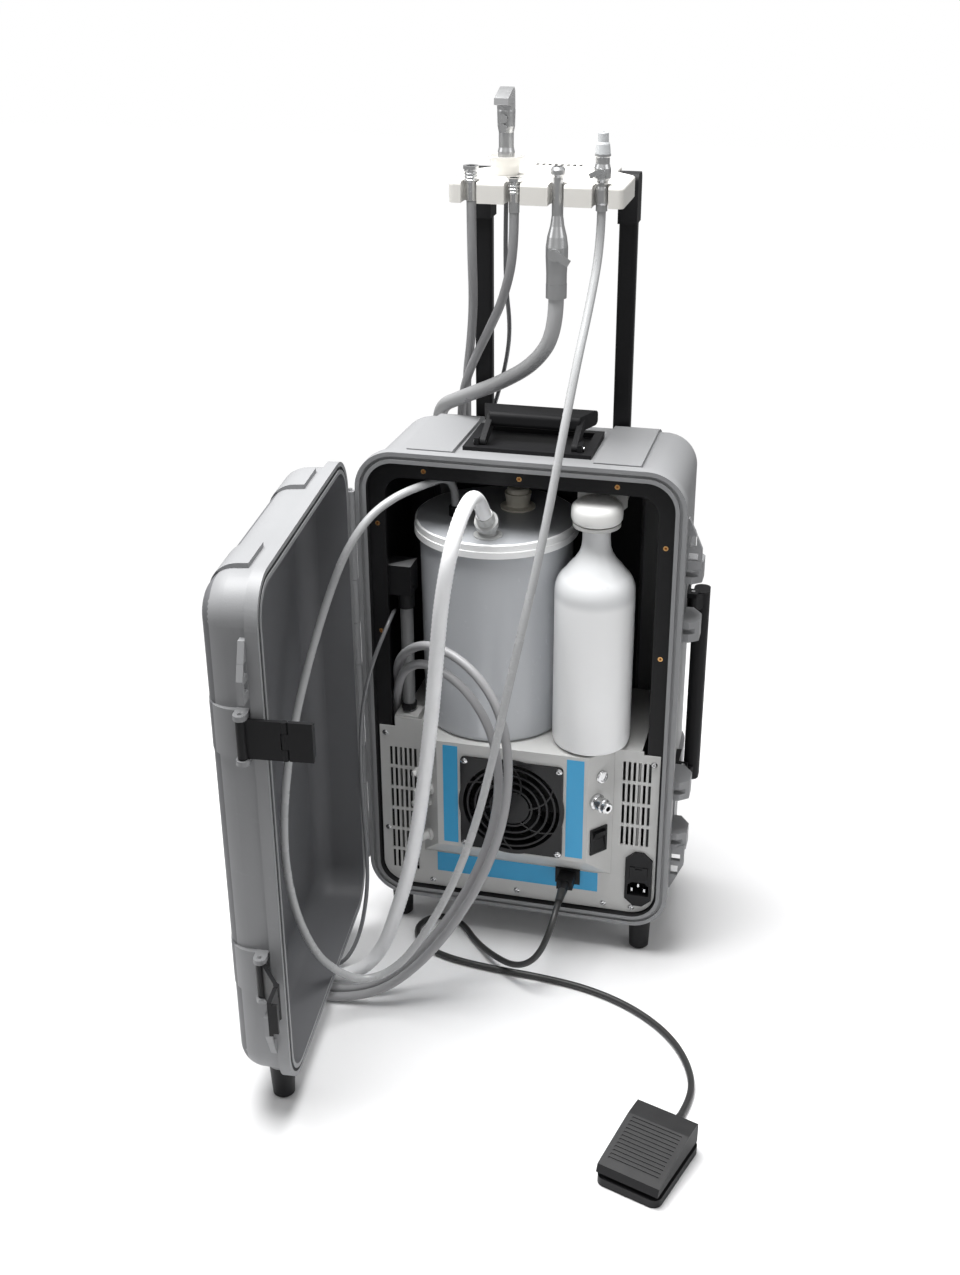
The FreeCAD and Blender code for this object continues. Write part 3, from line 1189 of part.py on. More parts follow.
def make_ports():
    """Fittings on the bay's slanted sides and the foot switch's socket."""
    quick = turned("quick_connect", [("3", "0"), ("9", "0"), ("9", "3"), ("7", "4"), ("7", "8"), ("8", "9"),
            ("8", "14"),
                                     ("6.4", "15"), ("6.4", "20"), ("5.4", "21"), ("3", "21")])
    lock = turned("test_port", [("0", "0"), ("7.4", "0"), ("7.4", "1.6"), ("6.4", "3.2"), ("4.6", "3.4"),
            ("4.4", "2"), ("0", "2")])
    fittings = [set_on_slant(quick, 1, 0.3, 0.02, num("rim_bottom + 166")),
            set_on_slant(lock, 1, 0.48, 0.02, num("rim_bottom + 194"))]
    for share, z in ((0.5, 176), (0.42, 154), (0.56, 136), (0.5, 92)):
        barb = turned("side_valve", [("0", "0"), ("7", "0"), ("7", "3"), ("5", "4"), ("5", "9"),
                ("5.6", "10"), ("5.6", "16"), ("3.6", "17.5"),
                                     ("3", "21"), ("0", "21")])
        fittings.append(set_on_slant(barb, -1, share, 0.02, num(f"rim_bottom + {z}")))
    socket = box("socket_face", ("45", "73"), ("panel_front - 2", "panel_front"),
            ("rim_bottom + 42", "rim_bottom + 61.2"))
    rear = box("socket_rear", ("48.2", "69.8"), ("panel_front - 0.5", "panel_front + 14"),
            ("rim_bottom + 45.2", "rim_bottom + 58.8"))
    hole = box("socket_hole", ("50.5", "67.5"), ("panel_front - 3", "panel_front + 11"),
            ("rim_bottom + 47.5", "rim_bottom + 56.5"))
    fittings.append(cut("foot_socket", fuse("socket_form", socket, rear), hole))
    group("bay_fittings", fittings)


def make_pumps():
    """The suction pump and the air compressor inside the chassis, on their mounts."""
    base = "(rim_bottom + opening_inset + 24 + sheet_metal)"
    pumps = []
    for name, x, wide in (("compressor", "-62", 34), ("vacuum", "70", 30)):
        motor = rod(name + "_motor", "X", "26", f"{x} - {wide}", f"{x} + 12", "62", f"{base} + 40")
        head = box(name + "_head", (f"{x} + 11", f"{x} + {wide}"), ("40", "84"),
                (f"{base} + 6", f"{base} + 82"))
        fins = [rod(name + "_fin", "X", "29", f"{x} - {wide} + {6 + 6*i}", f"{x} - {wide} + {8 + 6*i}", "62",
                f"{base} + 40") for i in range(5)]
        feet = [rod(name + "_mount", "Z", "5", base, f"{base} + 18", f"{x} {s} {d}", y) for s,
                d in (("-", 24), ("+", 22)) for y in ("54", "70")]
        pumps.append(fuse(name, motor, head, *fins, *feet))
    group("pumps", pumps)


# ---------------------------------------------------------------- tank and bottle
def make_tank():
    x, y, base = "tank_x", "tank_y", "deck_height"
    top, low = "tank_radius", "tank_radius - tank_taper"
    body = turned("waste_tank", [("0", "0"), (low, "0"), (f"{top}", "tank_height"),
            (f"{top} + 3", "tank_height"), (f"{top} + 3", "tank_height + 3"),
                                 (f"{top} - tank_wall", "tank_height + 3"), (f"{low} - tank_wall", "3"),
                                         ("0", "3")], (x, y, base))
    fillet(body, "6", ring_at("0", low))
    piece("waste_tank", body)
    reach = f"{top} + 5.4"
    lid = turned("tank_lid", [("0", "3.1"), (f"{top} + 3.4", "3.1"), (f"{top} + 3.4", "-lid_skirt + 6"),
            (reach, "-lid_skirt + 6"), (reach, "-2"),
                              (f"{reach} - 1", "-2"), (f"{reach} - 1", "3.1 + lid_plate - 1"),
                                      (f"{reach} - 2.5", "3.1 + lid_plate"), ("0", "3.1 + lid_plate")],
                 (x, y, f"{base} + tank_height"))
    piece("tank_lid", lid)
    seat = f"({base} + tank_height + 3.1 + lid_plate)"
    socket = turned("suction_socket", [("0", "0"), ("15", "0"), ("15", "1.6"), ("10", "2.6"), ("9", "5"),
            ("8.6", "12"), ("0", "12")],
                    (SUCTION_PORT[0], SUCTION_PORT[1], seat))
    ball = doc.addObject("Part::Sphere", "suction_ball")
    ball.Radius = 8.6
    place(ball, SUCTION_PORT[0], SUCTION_PORT[1], f"{seat} + 10")
    outlet = turned("suction_outlet", [("0", "0"), ("8.6", "0"), ("8.6", "4"), ("12.4", "5"), ("12.4", "12"),
            ("9.5", "13"), ("9.5", "20"), ("8.5", "25"), ("0", "25")])
    outlet.Placement = FreeCAD.Placement(V(num(SUCTION_PORT[0]), num(SUCTION_PORT[1]), num(f"{seat} + 10")),
            FreeCAD.Rotation(X_AXIS, SUCTION_LEAN))
    elbow = fuse("suction_elbow", socket, ball, outlet)
    port = turned("spare_port", [("7", "0"), ("19", "0"), ("19", "1.6"), ("13", "3"), ("12.5", "5"),
            ("14", "14"), ("14.5", "17"), ("7", "17")], ("-20", "93", seat))
    nozzle = turned("saliva_port", [("0", "0"), ("7", "0"), ("7", "10"), ("6", "11"), ("0", "11")],
            (SALIVA_PORT[0], SALIVA_PORT[1], seat))
    group("tank_ports", [elbow, port, nozzle])
    piece("port_cap", turned("port_cap", [("0", "10"), ("6.6", "10"), ("6.8", "17.2"), ("12", "17.2"),
            ("12", "21"), ("10.5", "22.5"), ("0", "22.5")],
                             ("-20", "93", seat)))
    # the riser at the tank's side, from the deck's turret to its rubber elbow
    x, y = RISER
    tube = rod("riser_tube", "Z", "7", "deck_height - 3", "deck_height + 158", x, y)
    clip = fuse("riser_clip_form", box("riser_block", ("-147", "-119"), ("15", "42"),
            ("deck_height + 152", "deck_height + 186")),
                rod("riser_collar", "Z", "9", "deck_height + 136", "deck_height + 160", x, y))
    clip = cut("riser_clip", clip, rod("riser_clip_bore", "Z", "7.05", "deck_height + 130",
            "deck_height + 158.1", x, y))
    band = fuse("riser_band", rod("clamp_band", "Z", "8.2", "deck_height + 13", "deck_height + 20", x, y),
                box("clamp_tab", (f"{x} - 4", f"{x} + 4"), (f"{y} - 11", y),
                        ("deck_height + 13.5", "deck_height + 19.5")))
    clamp = cut("riser_clamp", band, rod("clamp_bore", "Z", "7.05", "deck_height + 12", "deck_height + 21", x,
            y))
    group("riser", [tube, clip, clamp])


SUCTION_PORT = ("-32", "6")
SUCTION_LEAN = 40
SALIVA_PORT = ("-79", "54")


def make_bottle():
    x, y, base = "bottle_x", "bottle_y", "deck_height + 0.3"
    radius, wall = "bottle_radius", "bottle_wall"
    body = turned("water_bottle", [("0", "0"), (radius, "0"), (radius, "bottle_body"),
            (f"{radius} - 4", "bottle_body + 14"), ("neck_radius + 9", "bottle_body + 34"),
                                   ("neck_radius", "bottle_body + 44"), ("neck_radius", "neck_top"),
                                           (f"neck_radius - {wall}", "neck_top"),
                                   (f"neck_radius - {wall}", "bottle_body + 42"), ("neck_radius + 7",
                                           "bottle_body + 32"), (f"{radius} - 6", "bottle_body + 12"),
                                   (f"{radius} - {wall}", "bottle_body - 2"), (f"{radius} - {wall}", "2"),
                                           ("0", "2")], (x, y, base))
    fillet(body, "10", ring_at("bottle_body", radius))
    fillet(body, "8", ring_at("0", radius))
    piece("water_bottle", body)
    cap_low = f"{base} + neck_top - 2"
    cap = turned("bottle_cap", [("neck_radius + 0.3", "0"), ("cap_radius - 4", "0"), ("cap_radius", "3"),
            ("cap_radius", "cap_height - 3"), ("cap_radius - 3", "cap_height"),
                                ("0", "cap_height"), ("0", "cap_height - 4"), ("neck_radius + 0.3",
                                        "cap_height - 4")], (x, y, cap_low))
    piece("bottle_cap", cap)
    plate_y = f"{y} + cap_radius + 3"
    plate_low, plate_high = f"{cap_low} - 6", f"{cap_low} + 33"
    plate = new_body("bracket_plate")
    points = [(f"{x} - 26", plate_high), (f"{x} + 26", plate_high), (f"{x} + 26", f"{plate_low} + 12"),
            (f"{x} + 14", plate_low),
              (f"{x} - 14", plate_low), (f"{x} - 26", f"{plate_low} + 12")]
    pad(plate, polygon(plate, "bracket_outline", "XZ_Plane", points, f"-({plate_y})"), "2", backwards=True)
    arms = box("bracket_arm", (f"{x} - 14", f"{x} + 14"), (f"{y} + cap_radius - 6", f"{plate_y} + 1"),
            (f"{cap_low} - 4", f"{cap_low} - 0.4"))
    shelf = rod("bracket_ring", "Z", "cap_radius - 2", f"{cap_low} - 4", f"{cap_low} - 0.4", x, y)
    hole = rod("bracket_hole", "Z", "neck_radius + 0.5", f"{cap_low} - 6", f"{cap_low} + 2", x, y)
    slot_holes = [rod("bracket_hole_small", "Y", "2.4", f"{plate_y} - 1", f"{plate_y} + 3", f"{x} {s} 6",
            f"{plate_high} - 14") for s in "-+"]
    bracket = cut("bracket_cut", fuse("bracket_form", plate, arms, shelf), hole, *slot_holes)
    block = box("hanger_block", (f"{x} - 26", f"{x} + 26"), (f"{plate_y} + 2.05", f"{plate_y} + 18"),
            (f"{plate_high} - 20", "rim_bottom + rim_height - opening_inset - 3"))
    group("bottle_bracket", [bracket, block])
    screws = []
    for s in "-+":
        screw = screw_head("bracket_screw", "3.6", "2.2")
        screw.Placement = FreeCAD.Placement(V(0, 0, 0), FreeCAD.Rotation(X_AXIS, -90))
        place(screw, f"{x} {s} 18.5", plate_y, f"{plate_high} - 6")
        screws.append(screw)
    return screws


# ---------------------------------------------------------------- tray and instruments
def make_tray():
    left, right = "(tray_x - tray_half)", "(tray_x + tray_half)"
    low = "(tray_top - tray_depth)"
    waist = "(post_spacing/2 - knuckle_width/2 - 1)"
    outer = new_body("tray_form")
    points = [(left, "tray_front"), (right, "tray_front"), (right, "tray_front + 72"),
            (waist, "tray_back - 32"), (waist, "tray_back"),
              (f"-{waist}", "tray_back"), (f"-{waist}", "tray_back - 32"), (left, "tray_front + 72")]
    pad(outer, polygon(outer, "tray_outline", "XY_Plane", points, low), "tray_depth")
    fillet(outer, "5", lambda e: along(e, Z_AXIS) and e.BoundBox.YMax < num("tray_front") + 80)
    fillet(outer, "3", lambda e: e.BoundBox.ZMin > num("tray_top") - 0.01)
    inner = new_body("tray_inside")
    w = "tray_wall"
    points = [(f"{left} + {w}", f"tray_front + {w}"), (f"{right} - {w}", f"tray_front + {w}"),
            (f"{right} - {w}", f"tray_front + 71"),
              (f"{waist} - {w}", f"tray_back - 33"), (f"{waist} - {w}", f"tray_back - {w}"),
                      (f"-{waist} + {w}", f"tray_back - {w}"),
              (f"-{waist} + {w}", "tray_back - 33"), (f"{left} + {w}", "tray_front + 71")]
    pad(inner, polygon(inner, "tray_inside_outline", "XY_Plane", points, f"{low} - 1"),
            f"tray_depth + 1 - {w}")
    notches, jackets = [], []
    for i in range(4):
        x = holder_x(i)
        half = "holder_width/2"
        notches += [box("notch", (f"{x} - {half}", f"{x} + {half}"),
                ("tray_front - 1", "tray_front + holder_depth - holder_width/2"),
                (f"{low} - 1", "tray_top + 1")),
                    rod("notch_end", "Z", half, f"{low} - 1", "tray_top + 1", x,
                            "tray_front + holder_depth - holder_width/2")]
        jackets += [box("jacket", (f"{x} - {half} - {w}", f"{x} + {half} + {w}"),
                ("tray_front - 1", "tray_front + holder_depth - holder_width/2"), (f"{low} - 2", "tray_top")),
                    rod("jacket_end", "Z", f"{half} + {w}", f"{low} - 2", "tray_top", x,
                            "tray_front + holder_depth - holder_width/2")]
    cup_x, cup_y = CUP
    jackets.append(rod("cup_jacket", "Z", "13", f"{low} - 2", "tray_top", cup_x, cup_y))
    cup_hole = rod("cup_hole", "Z", "10.5", f"{low} - 1", "tray_top + 1", cup_x, cup_y)
    slots = [box("tray_slot", (f"-22 + {i}*6.4", f"-18.4 + {i}*6.4"), ("tray_back - 12", "tray_back - 4"),
            ("tray_top - 5", "tray_top + 1")) for i in range(8)]
    hollow = cut("tray_hollow", inner, *jackets)
    bar_way = box("grip_way", ("-post_spacing/2", "post_spacing/2"), ("post_back - 8.4", "post_back + 8.4"),
            (f"{low} - 3", "handle_top - 1.4"))
    pads = [box("tray_clip", (f"{s}40 - 8", f"{s}40 + 8"), ("post_back - 7", "post_back + 7"),
            ("handle_top - 1.4", f"tray_top - {w} + 0.5")) for s in ("-", "")]
    piece("tray", fuse("tray_whole", cut("tray_cut", outer, hollow, bar_way, *notches, cup_hole, *slots),
            *pads))
    cup = turned("syringe_cup", [("8.6", f"-tray_depth"), ("10.3", f"-tray_depth"), ("10.3", "0.1"),
            ("12", "0.1"), ("13.5", "9"), ("17.6", "17"), ("17.6", "18.4"),
                                 ("16.2", "18.4"), ("12", "10"), ("9.6", "2"), ("8.6", "2")],
                                         (cup_x, cup_y, "tray_top"))
    piece("syringe_cup", cup)


def holder_x(i):
    return f"(tray_x - 1 + {i - 1.5}*holder_pitch)"


def coupling(name, index, z):
    """A handpiece hose's coupling: knurled rings over a plain sleeve."""
    points = [("3", "0"), ("5.2", "0"), ("5.4", "18")]
    height = 18
    for _ in range(4):
        points += [("5.8", str(height)), ("6.6", str(height + 0.8)), ("6.6", str(height + 2)),
                ("5.8", str(height + 2.8))]
        height += 3
    points += [("7.6", str(height)), ("7.6", str(height + 3)), ("4.4", str(height + 3)),
            ("4.4", str(height - 4)), ("3", str(height - 4))]
    return turned(name, points, (holder_x(index), "tool_y", z))


def make_instruments():
    """What hangs in the tray's four holders, from left to right."""
    group("handpiece_couplings", [coupling("coupling_left", 0, "tray_top - 19"),
            coupling("coupling_right", 1, "tray_top - 29")])
    # large suction handpiece: nose, body and valve, with its collar below
    x, y = holder_x(2), "tool_y"
    hve = turned("suction_body", [("4", "112"), ("5.4", "112"), ("7.2", "109"), ("7.2", "105"),
            ("5.6", "102"), ("5.6", "66"), ("7", "56"), ("9.6", "46"),
                                  ("11", "36"), ("11", "26"), ("10.2", "10"), ("10.2", "0"), ("6.5", "0"),
                                          ("6.5", "16"), ("4", "40")],
                 (x, y, "tray_top - 96"))
    hve = cut("suction_handpiece_cut", hve, rod("valve_bore", "Y", "6.05", "tool_y - 20", "tool_y + 20", x,
            "tray_top - 66"))
    collar = cut("suction_collar", rod("collar_out", "Z", "10.4", "tray_top - 110", "tray_top - 96.1", x, y),
                 rod("collar_in", "Z", "6.5", "tray_top - 111", "tray_top - 96", x, y))
    group("suction_handpiece", [hve, collar])
    barrel = rod("valve_barrel", "Y", "6", "tool_y - 14", "tool_y + 12.5", x, "tray_top - 66")
    way = rod("valve_way", "Z", "4", "tray_top - 77", "tray_top - 52", x, "tool_y")
    tab = turned_block("valve_tab", ("9", "1.2", "3.4"), (f"{x} + 7", "tool_y - 13.2", "tray_top - 69"),
            Y_AXIS, 30)
    piece("suction_valve", fuse("suction_valve_form", cut("valve_form", barrel, way), tab))
    # saliva ejector: slim valve body with a soft tip
    x = holder_x(3)
    body = turned("saliva_body", [("2.5", "0"), ("5.6", "0"), ("5.6", "6"), ("6.4", "8"), ("6.4", "20"),
            ("5.4", "23"), ("5.8", "27"), ("8.2", "31"),
                                  ("8.2", "40"), ("6.6", "44"), ("6.6", "50"), ("7.6", "51"), ("7.6", "53"),
                                          ("2.5", "53")], (x, y, "tray_top - 24"))
    body = cut("saliva_handpiece_cut", body, rod("ball_bore", "Y", "5.05", "tool_y - 20", "tool_y + 20", x,
            "tray_top + 11.5"))
    tip = turned("saliva_tip", [("2.5", "0"), ("7.4", "0"), ("6.4", "9"), ("5.2", "11"), ("5", "19"),
            ("4.2", "20"), ("2.5", "20")], (x, y, "tray_top + 29.1"))
    group("saliva_handpiece", [body, tip])
    ball = fuse("saliva_valve_form", rod("ball_core", "Y", "5", "tool_y - 11", "tool_y + 9.5", x,
            "tray_top + 11.5"),
                turned_block("saliva_tab", ("6", "1.2", "2.4"), (f"{x} - 5", "tool_y - 10.4",
                        "tray_top + 12"), Y_AXIS, -25))
    piece("saliva_valve", cut("saliva_valve_cut", ball,
            rod("ball_way", "Z", "2.5", "tray_top", "tray_top + 24", x, "tool_y")))
    make_syringe()


def make_syringe():
    """The air and water syringe, stood in its cup: sleeve, body with two buttons, and a short nose."""
    x, y, base = CUP[0], CUP[1], "(tray_top + 2.1)"
    sleeve = turned("syringe_sleeve", [("0", "-24"), ("5.6", "-24"), ("7.6", "-21"), ("8.4", "-2"),
            ("8.4", "20"), ("7.4", "24"), ("7.4", "38"), ("8.6", "44"),
                                       ("9", "58"), ("8.4", "66"), ("0", "66")], (x, y, base))
    head = new_body("syringe_head")
    points = [(f"{y} - 9", "60"), (f"{y} + 9", "60"), (f"{y} + 8", "76"), (f"{y} + 4", "80"),
            (f"{y} - 4", "78"), (f"{y} - 22", "72"), (f"{y} - 23", "66"), (f"{y} - 10", "64")]
    pad(head, polygon(head, "syringe_head_outline", "YZ_Plane", points, f"{x} - 7"), "14")
    place(head, "0", "0", base)
    wells = [rod("button_well", "Y", "3.4", f"{y} - 30", y, x, f"{base} + {z}") for z in (52, 43)]
    piece("syringe", cut("syringe_cut", fuse("syringe_form", sleeve, head), *wells))
    for name, z in (("air_button", 52), ("water_button", 43)):
        stem = rod(name + "_stem", "Y", "3.2", f"{y} - 13", f"{y} - 3.2", x, f"{base} + {z}")
        cap = rod(name + "_cap", "Y", "3.9", f"{y} - 14.6", f"{y} - 12.2", x, f"{base} + {z}")
        piece(name, fuse(name + "_form", stem, cap))


CUP = ("(tray_x - 40)", "112")


# ---------------------------------------------------------------- foot switch
def make_foot_switch():
    half_w, half_l, tall = "pedal_width/2", "pedal_length/2", "pedal_height"
    base = rounded("pedal_base", box("pedal_slab", (f"-{half_w}", half_w), (f"-{half_l}", half_l),
            ("0", "9")), "9", lambda e: along(e, Z_AXIS))
    pillar = box("pedal_pillar", ("-14", "14"), ("-16", "18"), ("8", "17"))
    cheeks = [box("pedal_cheek", (f"{s}24 - 2.5", f"{s}24 + 2.5"), (f"{half_l} - 22", f"{half_l} - 8"),
            ("8", "22")) for s in ("-", "")]
    pin_y, pin_z = f"{half_l} - 15", "16"
    gland = rod("pedal_gland", "Y", "5", f"{half_l} - 4", f"{half_l} + 9", "0", "5.2")
    bore = rod("pedal_bore", "X", "2", "-30", "30", pin_y, pin_z)
    floor = box("pedal_floor", ("-50", "50"), ("-100", "100"), ("-20", "0"))
    foot = cut("pedal_base_form", fuse("pedal_base_solid", base, pillar, *cheeks, gland), bore, floor)
    pin = rod("pedal_pin", "X", "2", "-28.5", "28.5", pin_y, pin_z)
    cover = new_body("pedal_cover")
    points = [(f"-{half_l} + 1", "14"), (f"{half_l} - 1", "14"), (f"{half_l} - 1", f"{tall} - 6"),
            (f"{half_l} - 6", tall),
              (f"{half_l} - 26", f"{tall} - 0.5"), (f"-{half_l} + 12", f"{tall} - 12"),
                      (f"-{half_l} + 4", f"{tall} - 14")]
    pad(cover, polygon(cover, "pedal_cover_outline", "YZ_Plane", points, f"-{half_w} + 1"), "pedal_width - 2")
    fillet(cover, "5", lambda e: not along(e, X_AXIS) and abs(e.BoundBox.ZMax - e.BoundBox.ZMin) > 10
            and e.BoundBox.YLength < 12)
    inside = new_body("pedal_inside")
    points = [(f"-{half_l} + 4", "10"), (f"{half_l} - 4", "10"), (f"{half_l} - 4", f"{tall} - 8"),
            (f"{half_l} - 26", f"{tall} - 4"), (f"-{half_l} + 12", f"{tall} - 16")]
    pad(inside, polygon(inside, "pedal_inside_outline", "YZ_Plane", points, f"-{half_w} + 4"),
            "pedal_width - 8")
    slope = math.degrees(math.atan2(11.5, num("pedal_length") - 38))
    grooves = []
    for i in range(12):
        y = -0.5*num("pedal_length") + 14 + 4.4*i
        z = num("pedal_height") - 12 + (y + 0.5*num("pedal_length") - 12)*math.tan(math.radians(slope))
        grooves.append(turned_block("pedal_groove", (f"{half_w} - 7", "1", "0.8"), ("0", str(y), str(z)),
                X_AXIS, slope))
    ears = [box("pedal_ear", (f"{s}17 - 2.5", f"{s}17 + 2.5"), (f"{half_l} - 20", f"{half_l} - 9"),
            ("12.5", f"{tall} - 6")) for s in ("-", "")]
    ear_bore = rod("pedal_ear_bore", "X", "2 + running_clearance", "-26", "26", pin_y, pin_z)
    tread = cut("treadle_cut", fuse("treadle_form", cut("treadle_shell", cover, inside, *grooves), *ears),
            ear_bore)
    turn = FreeCAD.Rotation(Z_AXIS, num("pedal_turn"))
    for node, parts in (("foot_base", [foot, pin]), ("foot_treadle", [tread])):
        obj = group(node, parts)
        obj.Placement = FreeCAD.Placement(V(num("pedal_x"), num("pedal_y"), 0), turn)


# ---------------------------------------------------------------- hoses and cord
def hose(node, diameter, points):
    """A plain round hose along straight runs joined by tangent arcs, each as large as its runs allow."""
    route = [V(*p) for p in points]
    radius = num(diameter)/2
    edges, bends = [], []
    start = route[0]
    for before, corner, after in zip(route, route[1:], route[2:]):
        run_in, run_out = corner - before, after - corner
        half_turn = run_in.getAngle(run_out)/2
        bend = 0.45*min(run_in.Length, run_out.Length)/math.tan(half_turn)
        reach = bend*math.tan(half_turn)
        first = corner - V(run_in).normalize()*reach
        last = corner + V(run_out).normalize()*reach
        inwards = (V(run_out).normalize() - V(run_in).normalize()).normalize()
        middle = corner + inwards*(bend/math.cos(half_turn) - bend)
        edges += [Part.LineSegment(start, first).toShape(), Part.Arc(first, middle, last).toShape()]
        start = last
        bends.append(bend)
    edges.append(Part.LineSegment(start, route[-1]).toShape())
    path = Part.Wire(edges)
    direction = (route[1] - route[0]).normalize()
    section = Part.Wire([Part.Circle(route[0], direction, radius).toShape()])
    solid = path.makePipeShell([section], True, False)
    expected = math.pi*radius**2*path.Length
    tight = route[bends.index(min(bends)) + 1]
    print(f"{node}: length {path.Length:.0f}, radii {min(bends):.0f} (at {tight.x:.0f}, {tight.y:.0f}, {tight.z:.0f})"
          f" to {max(bends):.0f}, volume share {solid.Volume/expected:.4f}")
    if abs(solid.Volume/expected - 1) > 0.01:
        raise ValueError(node + " has the wrong volume")
    piece(node, shaped(node, solid))


def around(lane, rise):
    """The shared way from behind the case to the floor at its left; a lane lies further out."""
    out = num("hose_lane")*lane
    return [(-122, 208 + out, 430), (-123, 207 + out, 330), (-127, 208 + out, 235), (-136, 209 + out, 150),
            (-156 - 0.2*out, 210 + out, 76),
            (-186 - 0.4*out, 204 + 0.95*out, 26), (-214 - 0.65*out, 174 + 0.75*out, rise),
                    (-236 - 0.93*out, 110 + 0.35*out, rise),
            (-243 - out, 30, rise), (-234 - 0.97*out, -46 - 0.25*out, rise),
                    (-208 - 0.72*out, -102 - 0.7*out, rise)]


def halved(points):
    """The same bend in runs of half the length, each corner cut at a quarter."""
    route = [V(*p) for p in points]
    finer = [route[0]]
    for i, (a, b) in enumerate(zip(route, route[1:])):
        if i > 0:
            finer.append(a + (b - a)*0.25)
        if i < len(route) - 2:
            finer.append(a + (b - a)*0.75)
    return [tuple(p) for p in finer + [route[-1]]]


def make_hoses():
    top = num("tray_top")
    x = [num(holder_x(i)) for i in range(4)]
    y = num("tool_y")
    floor = {name: num(name + "_diameter")/2 + 0.3 for name in ("suction", "handpiece", "syringe_hose")}
    hose("handpiece_hose_left", "handpiece_diameter",
         [(x[0], y, top - 19.1), (x[0], y, 776), (x[0] - 4, y + 22, 716), (x[0] - 19, y + 68, 661),
          (x[0] - 34, y + 107, 614), (x[0] - 45, 219, 568), (-116, 250, 500)]
         + around(3.4, floor["handpiece"])
         + [(-200, -160, 5.05), (-156, -157, 6), (-114, -149, 17), (-76, -136, 48), (-38, -123, 100),
                 (-8, -112, 160),
            (11, -102, 224), (15, -94, 290), (2, -84, 346), (-34, -68, 384), (-84, -44, 392),
                    (-118, -22, 366),
            (-134, 4, 333), (-142, 34, 298), (-148, 51, 268), (-149.5, 53, 238)])
    hose("handpiece_hose_right", "handpiece_diameter",
         [(x[1], y, top - 29.1), (x[1], y, 770), (x[1] - 14, y + 16, 722), (x[1] - 36, y + 46, 682),
          (x[1] - 59, y + 69, 641), (x[1] - 78, 170, 603), (-112, 206, 560), (-120, 236, 500)]
         + around(2.4, floor["handpiece"])
         + [(-190, -142, 5.05), (-150, -143, 6), (-114, -134, 20), (-80, -122, 52), (-46, -110, 100),
                 (-18, -100, 156),
            (-1, -91, 214), (2, -83, 272), (-12, -74, 322), (-44, -60, 356), (-88, -38, 366),
                    (-118, -17, 345),
            (-133, 5, 313), (-143.6, 31, 279), (-147, 36, 247)])
    hose("syringe_hose", "syringe_hose_diameter",
         halved([(num(CUP[0]), num(CUP[1]), top - 22.1), (-39, 113, 776), (-42, 128, 724), (-42, 150, 674),
                 (-54, 180, 626), (-72, 204, 572), (-96, 210, 506)]
                + around(0, floor["syringe_hose"])
                + [(-177, -102, 2.6), (-160, -86, 32), (-154, -68, 82), (-157, -54, 130), (-164, -42, 182),
                   (-168, -32, 240), (-165, -26, 298), (-154, -22, 346), (-141, -8, 384), (-139, 22, 396),
                   (-147, 48, 382)]))
    hose("suction_hose", "suction_diameter",
         [(x[2], y, top - 110.1), (x[2], y, 694), (x[2] - 24, y + 16, 656), (x[2] - 68, y + 46, 624),
          (x[2] - 116, y + 77, 597), (-137, 193, 568), (-136, 221, 508)]
         + around(1.2, floor["suction"])
         + [(-176, -128, 8.2), (-142, -125, 23), (-118, -122, 57), (-102, -121, 108), (-86, -120, 166),
            (-75, -118, 232), (-66, -117, 300), (-58, -119, 366), (-52, -122, 426), (-46, -124, 480),
            (-38, -117, 531), (-34, -80, 560), tuple(suction_end(42)), tuple(suction_end(0))])
    hose("saliva_hose", "saliva_diameter",
         [(x[3], y, top - 24.1), (x[3], y, 782), (x[3] - 3, 40, 734), (x[3] - 8, 0, 682),
                 (x[3] - 14, -32, 620),
          (x[3] - 22, -54, 552), (x[3] - 32, -72, 486), (x[3] - 44, -88, 420), (x[3] - 55, -100, 358),
          (x[3] - 66, -110, 294), (x[3] - 80, -120, 228), (x[3] - 100, -131, 162), (x[3] - 130, -144, 98),
          (x[3] - 162, -154, 52), (x[3] - 196, -166, 40), (-154, -182, 62), (-168, -204, 100),
                  (-184, -212, 158),
          (-194, -204, 222), (-198, -178, 282), (-198, -140, 338), (-192, -102, 392), (-180, -74, 446),
          (-163, -62, 494), (-143, -40, 526), (-120, -16, 541), (-98, 13, 544), (-87.7, 35.1, 543.5),
          (-82.2, 47.1, 536), (-79, 54, 522.7),
                  (-79, 54, num("deck_height + tank_height + lid_plate + 14.2"))])
    hose("foot_cord", "cord_diameter",
         [(59, -26, 92), (59, -54, 92), (56, -80, 73), (44, -90, 44), (20, -82, 23), (-12, -56, 13),
                 (-42, -22, 4),
          (-66, 10, 3.8), (-96, 18, 3.8), (-116, -6, 3.8), (-106, -38, 3.8), (-70, -58, 3.8), (-16, -66, 3.8),
          (44, -68, 3.8), (102, -76, 3.8), (156, -98, 3.8), (200, -134, 3.8), (226, -180, 3.8),
          tuple(gland_end(42)), tuple(gland_end(0))])
    plug = box("plug_body", ("50", "68"), ("-14", "panel_front - 2.05"),
            ("rim_bottom + 46", "rim_bottom + 58"))
    strain = rod("plug_sleeve", "Y", "5.5", "-25.9", "-13", "59", "rim_bottom + 52")
    tongue = box("plug_tongue", ("51", "67"), ("panel_front - 3", "panel_front + 9"),
            ("rim_bottom + 48", "rim_bottom + 56"))
    piece("foot_plug", fuse("foot_plug_form", plug, strain, tongue))


def gland_end(out):
    """A point on the axis of the foot switch's gland, so far out from its end."""
    turn = FreeCAD.Rotation(Z_AXIS, num("pedal_turn"))
    return V(num("pedal_x"), num("pedal_y"), 0) + turn.multVec(V(0, num("pedal_length/2 + 9.1") + out,
            5.2 - out/70))


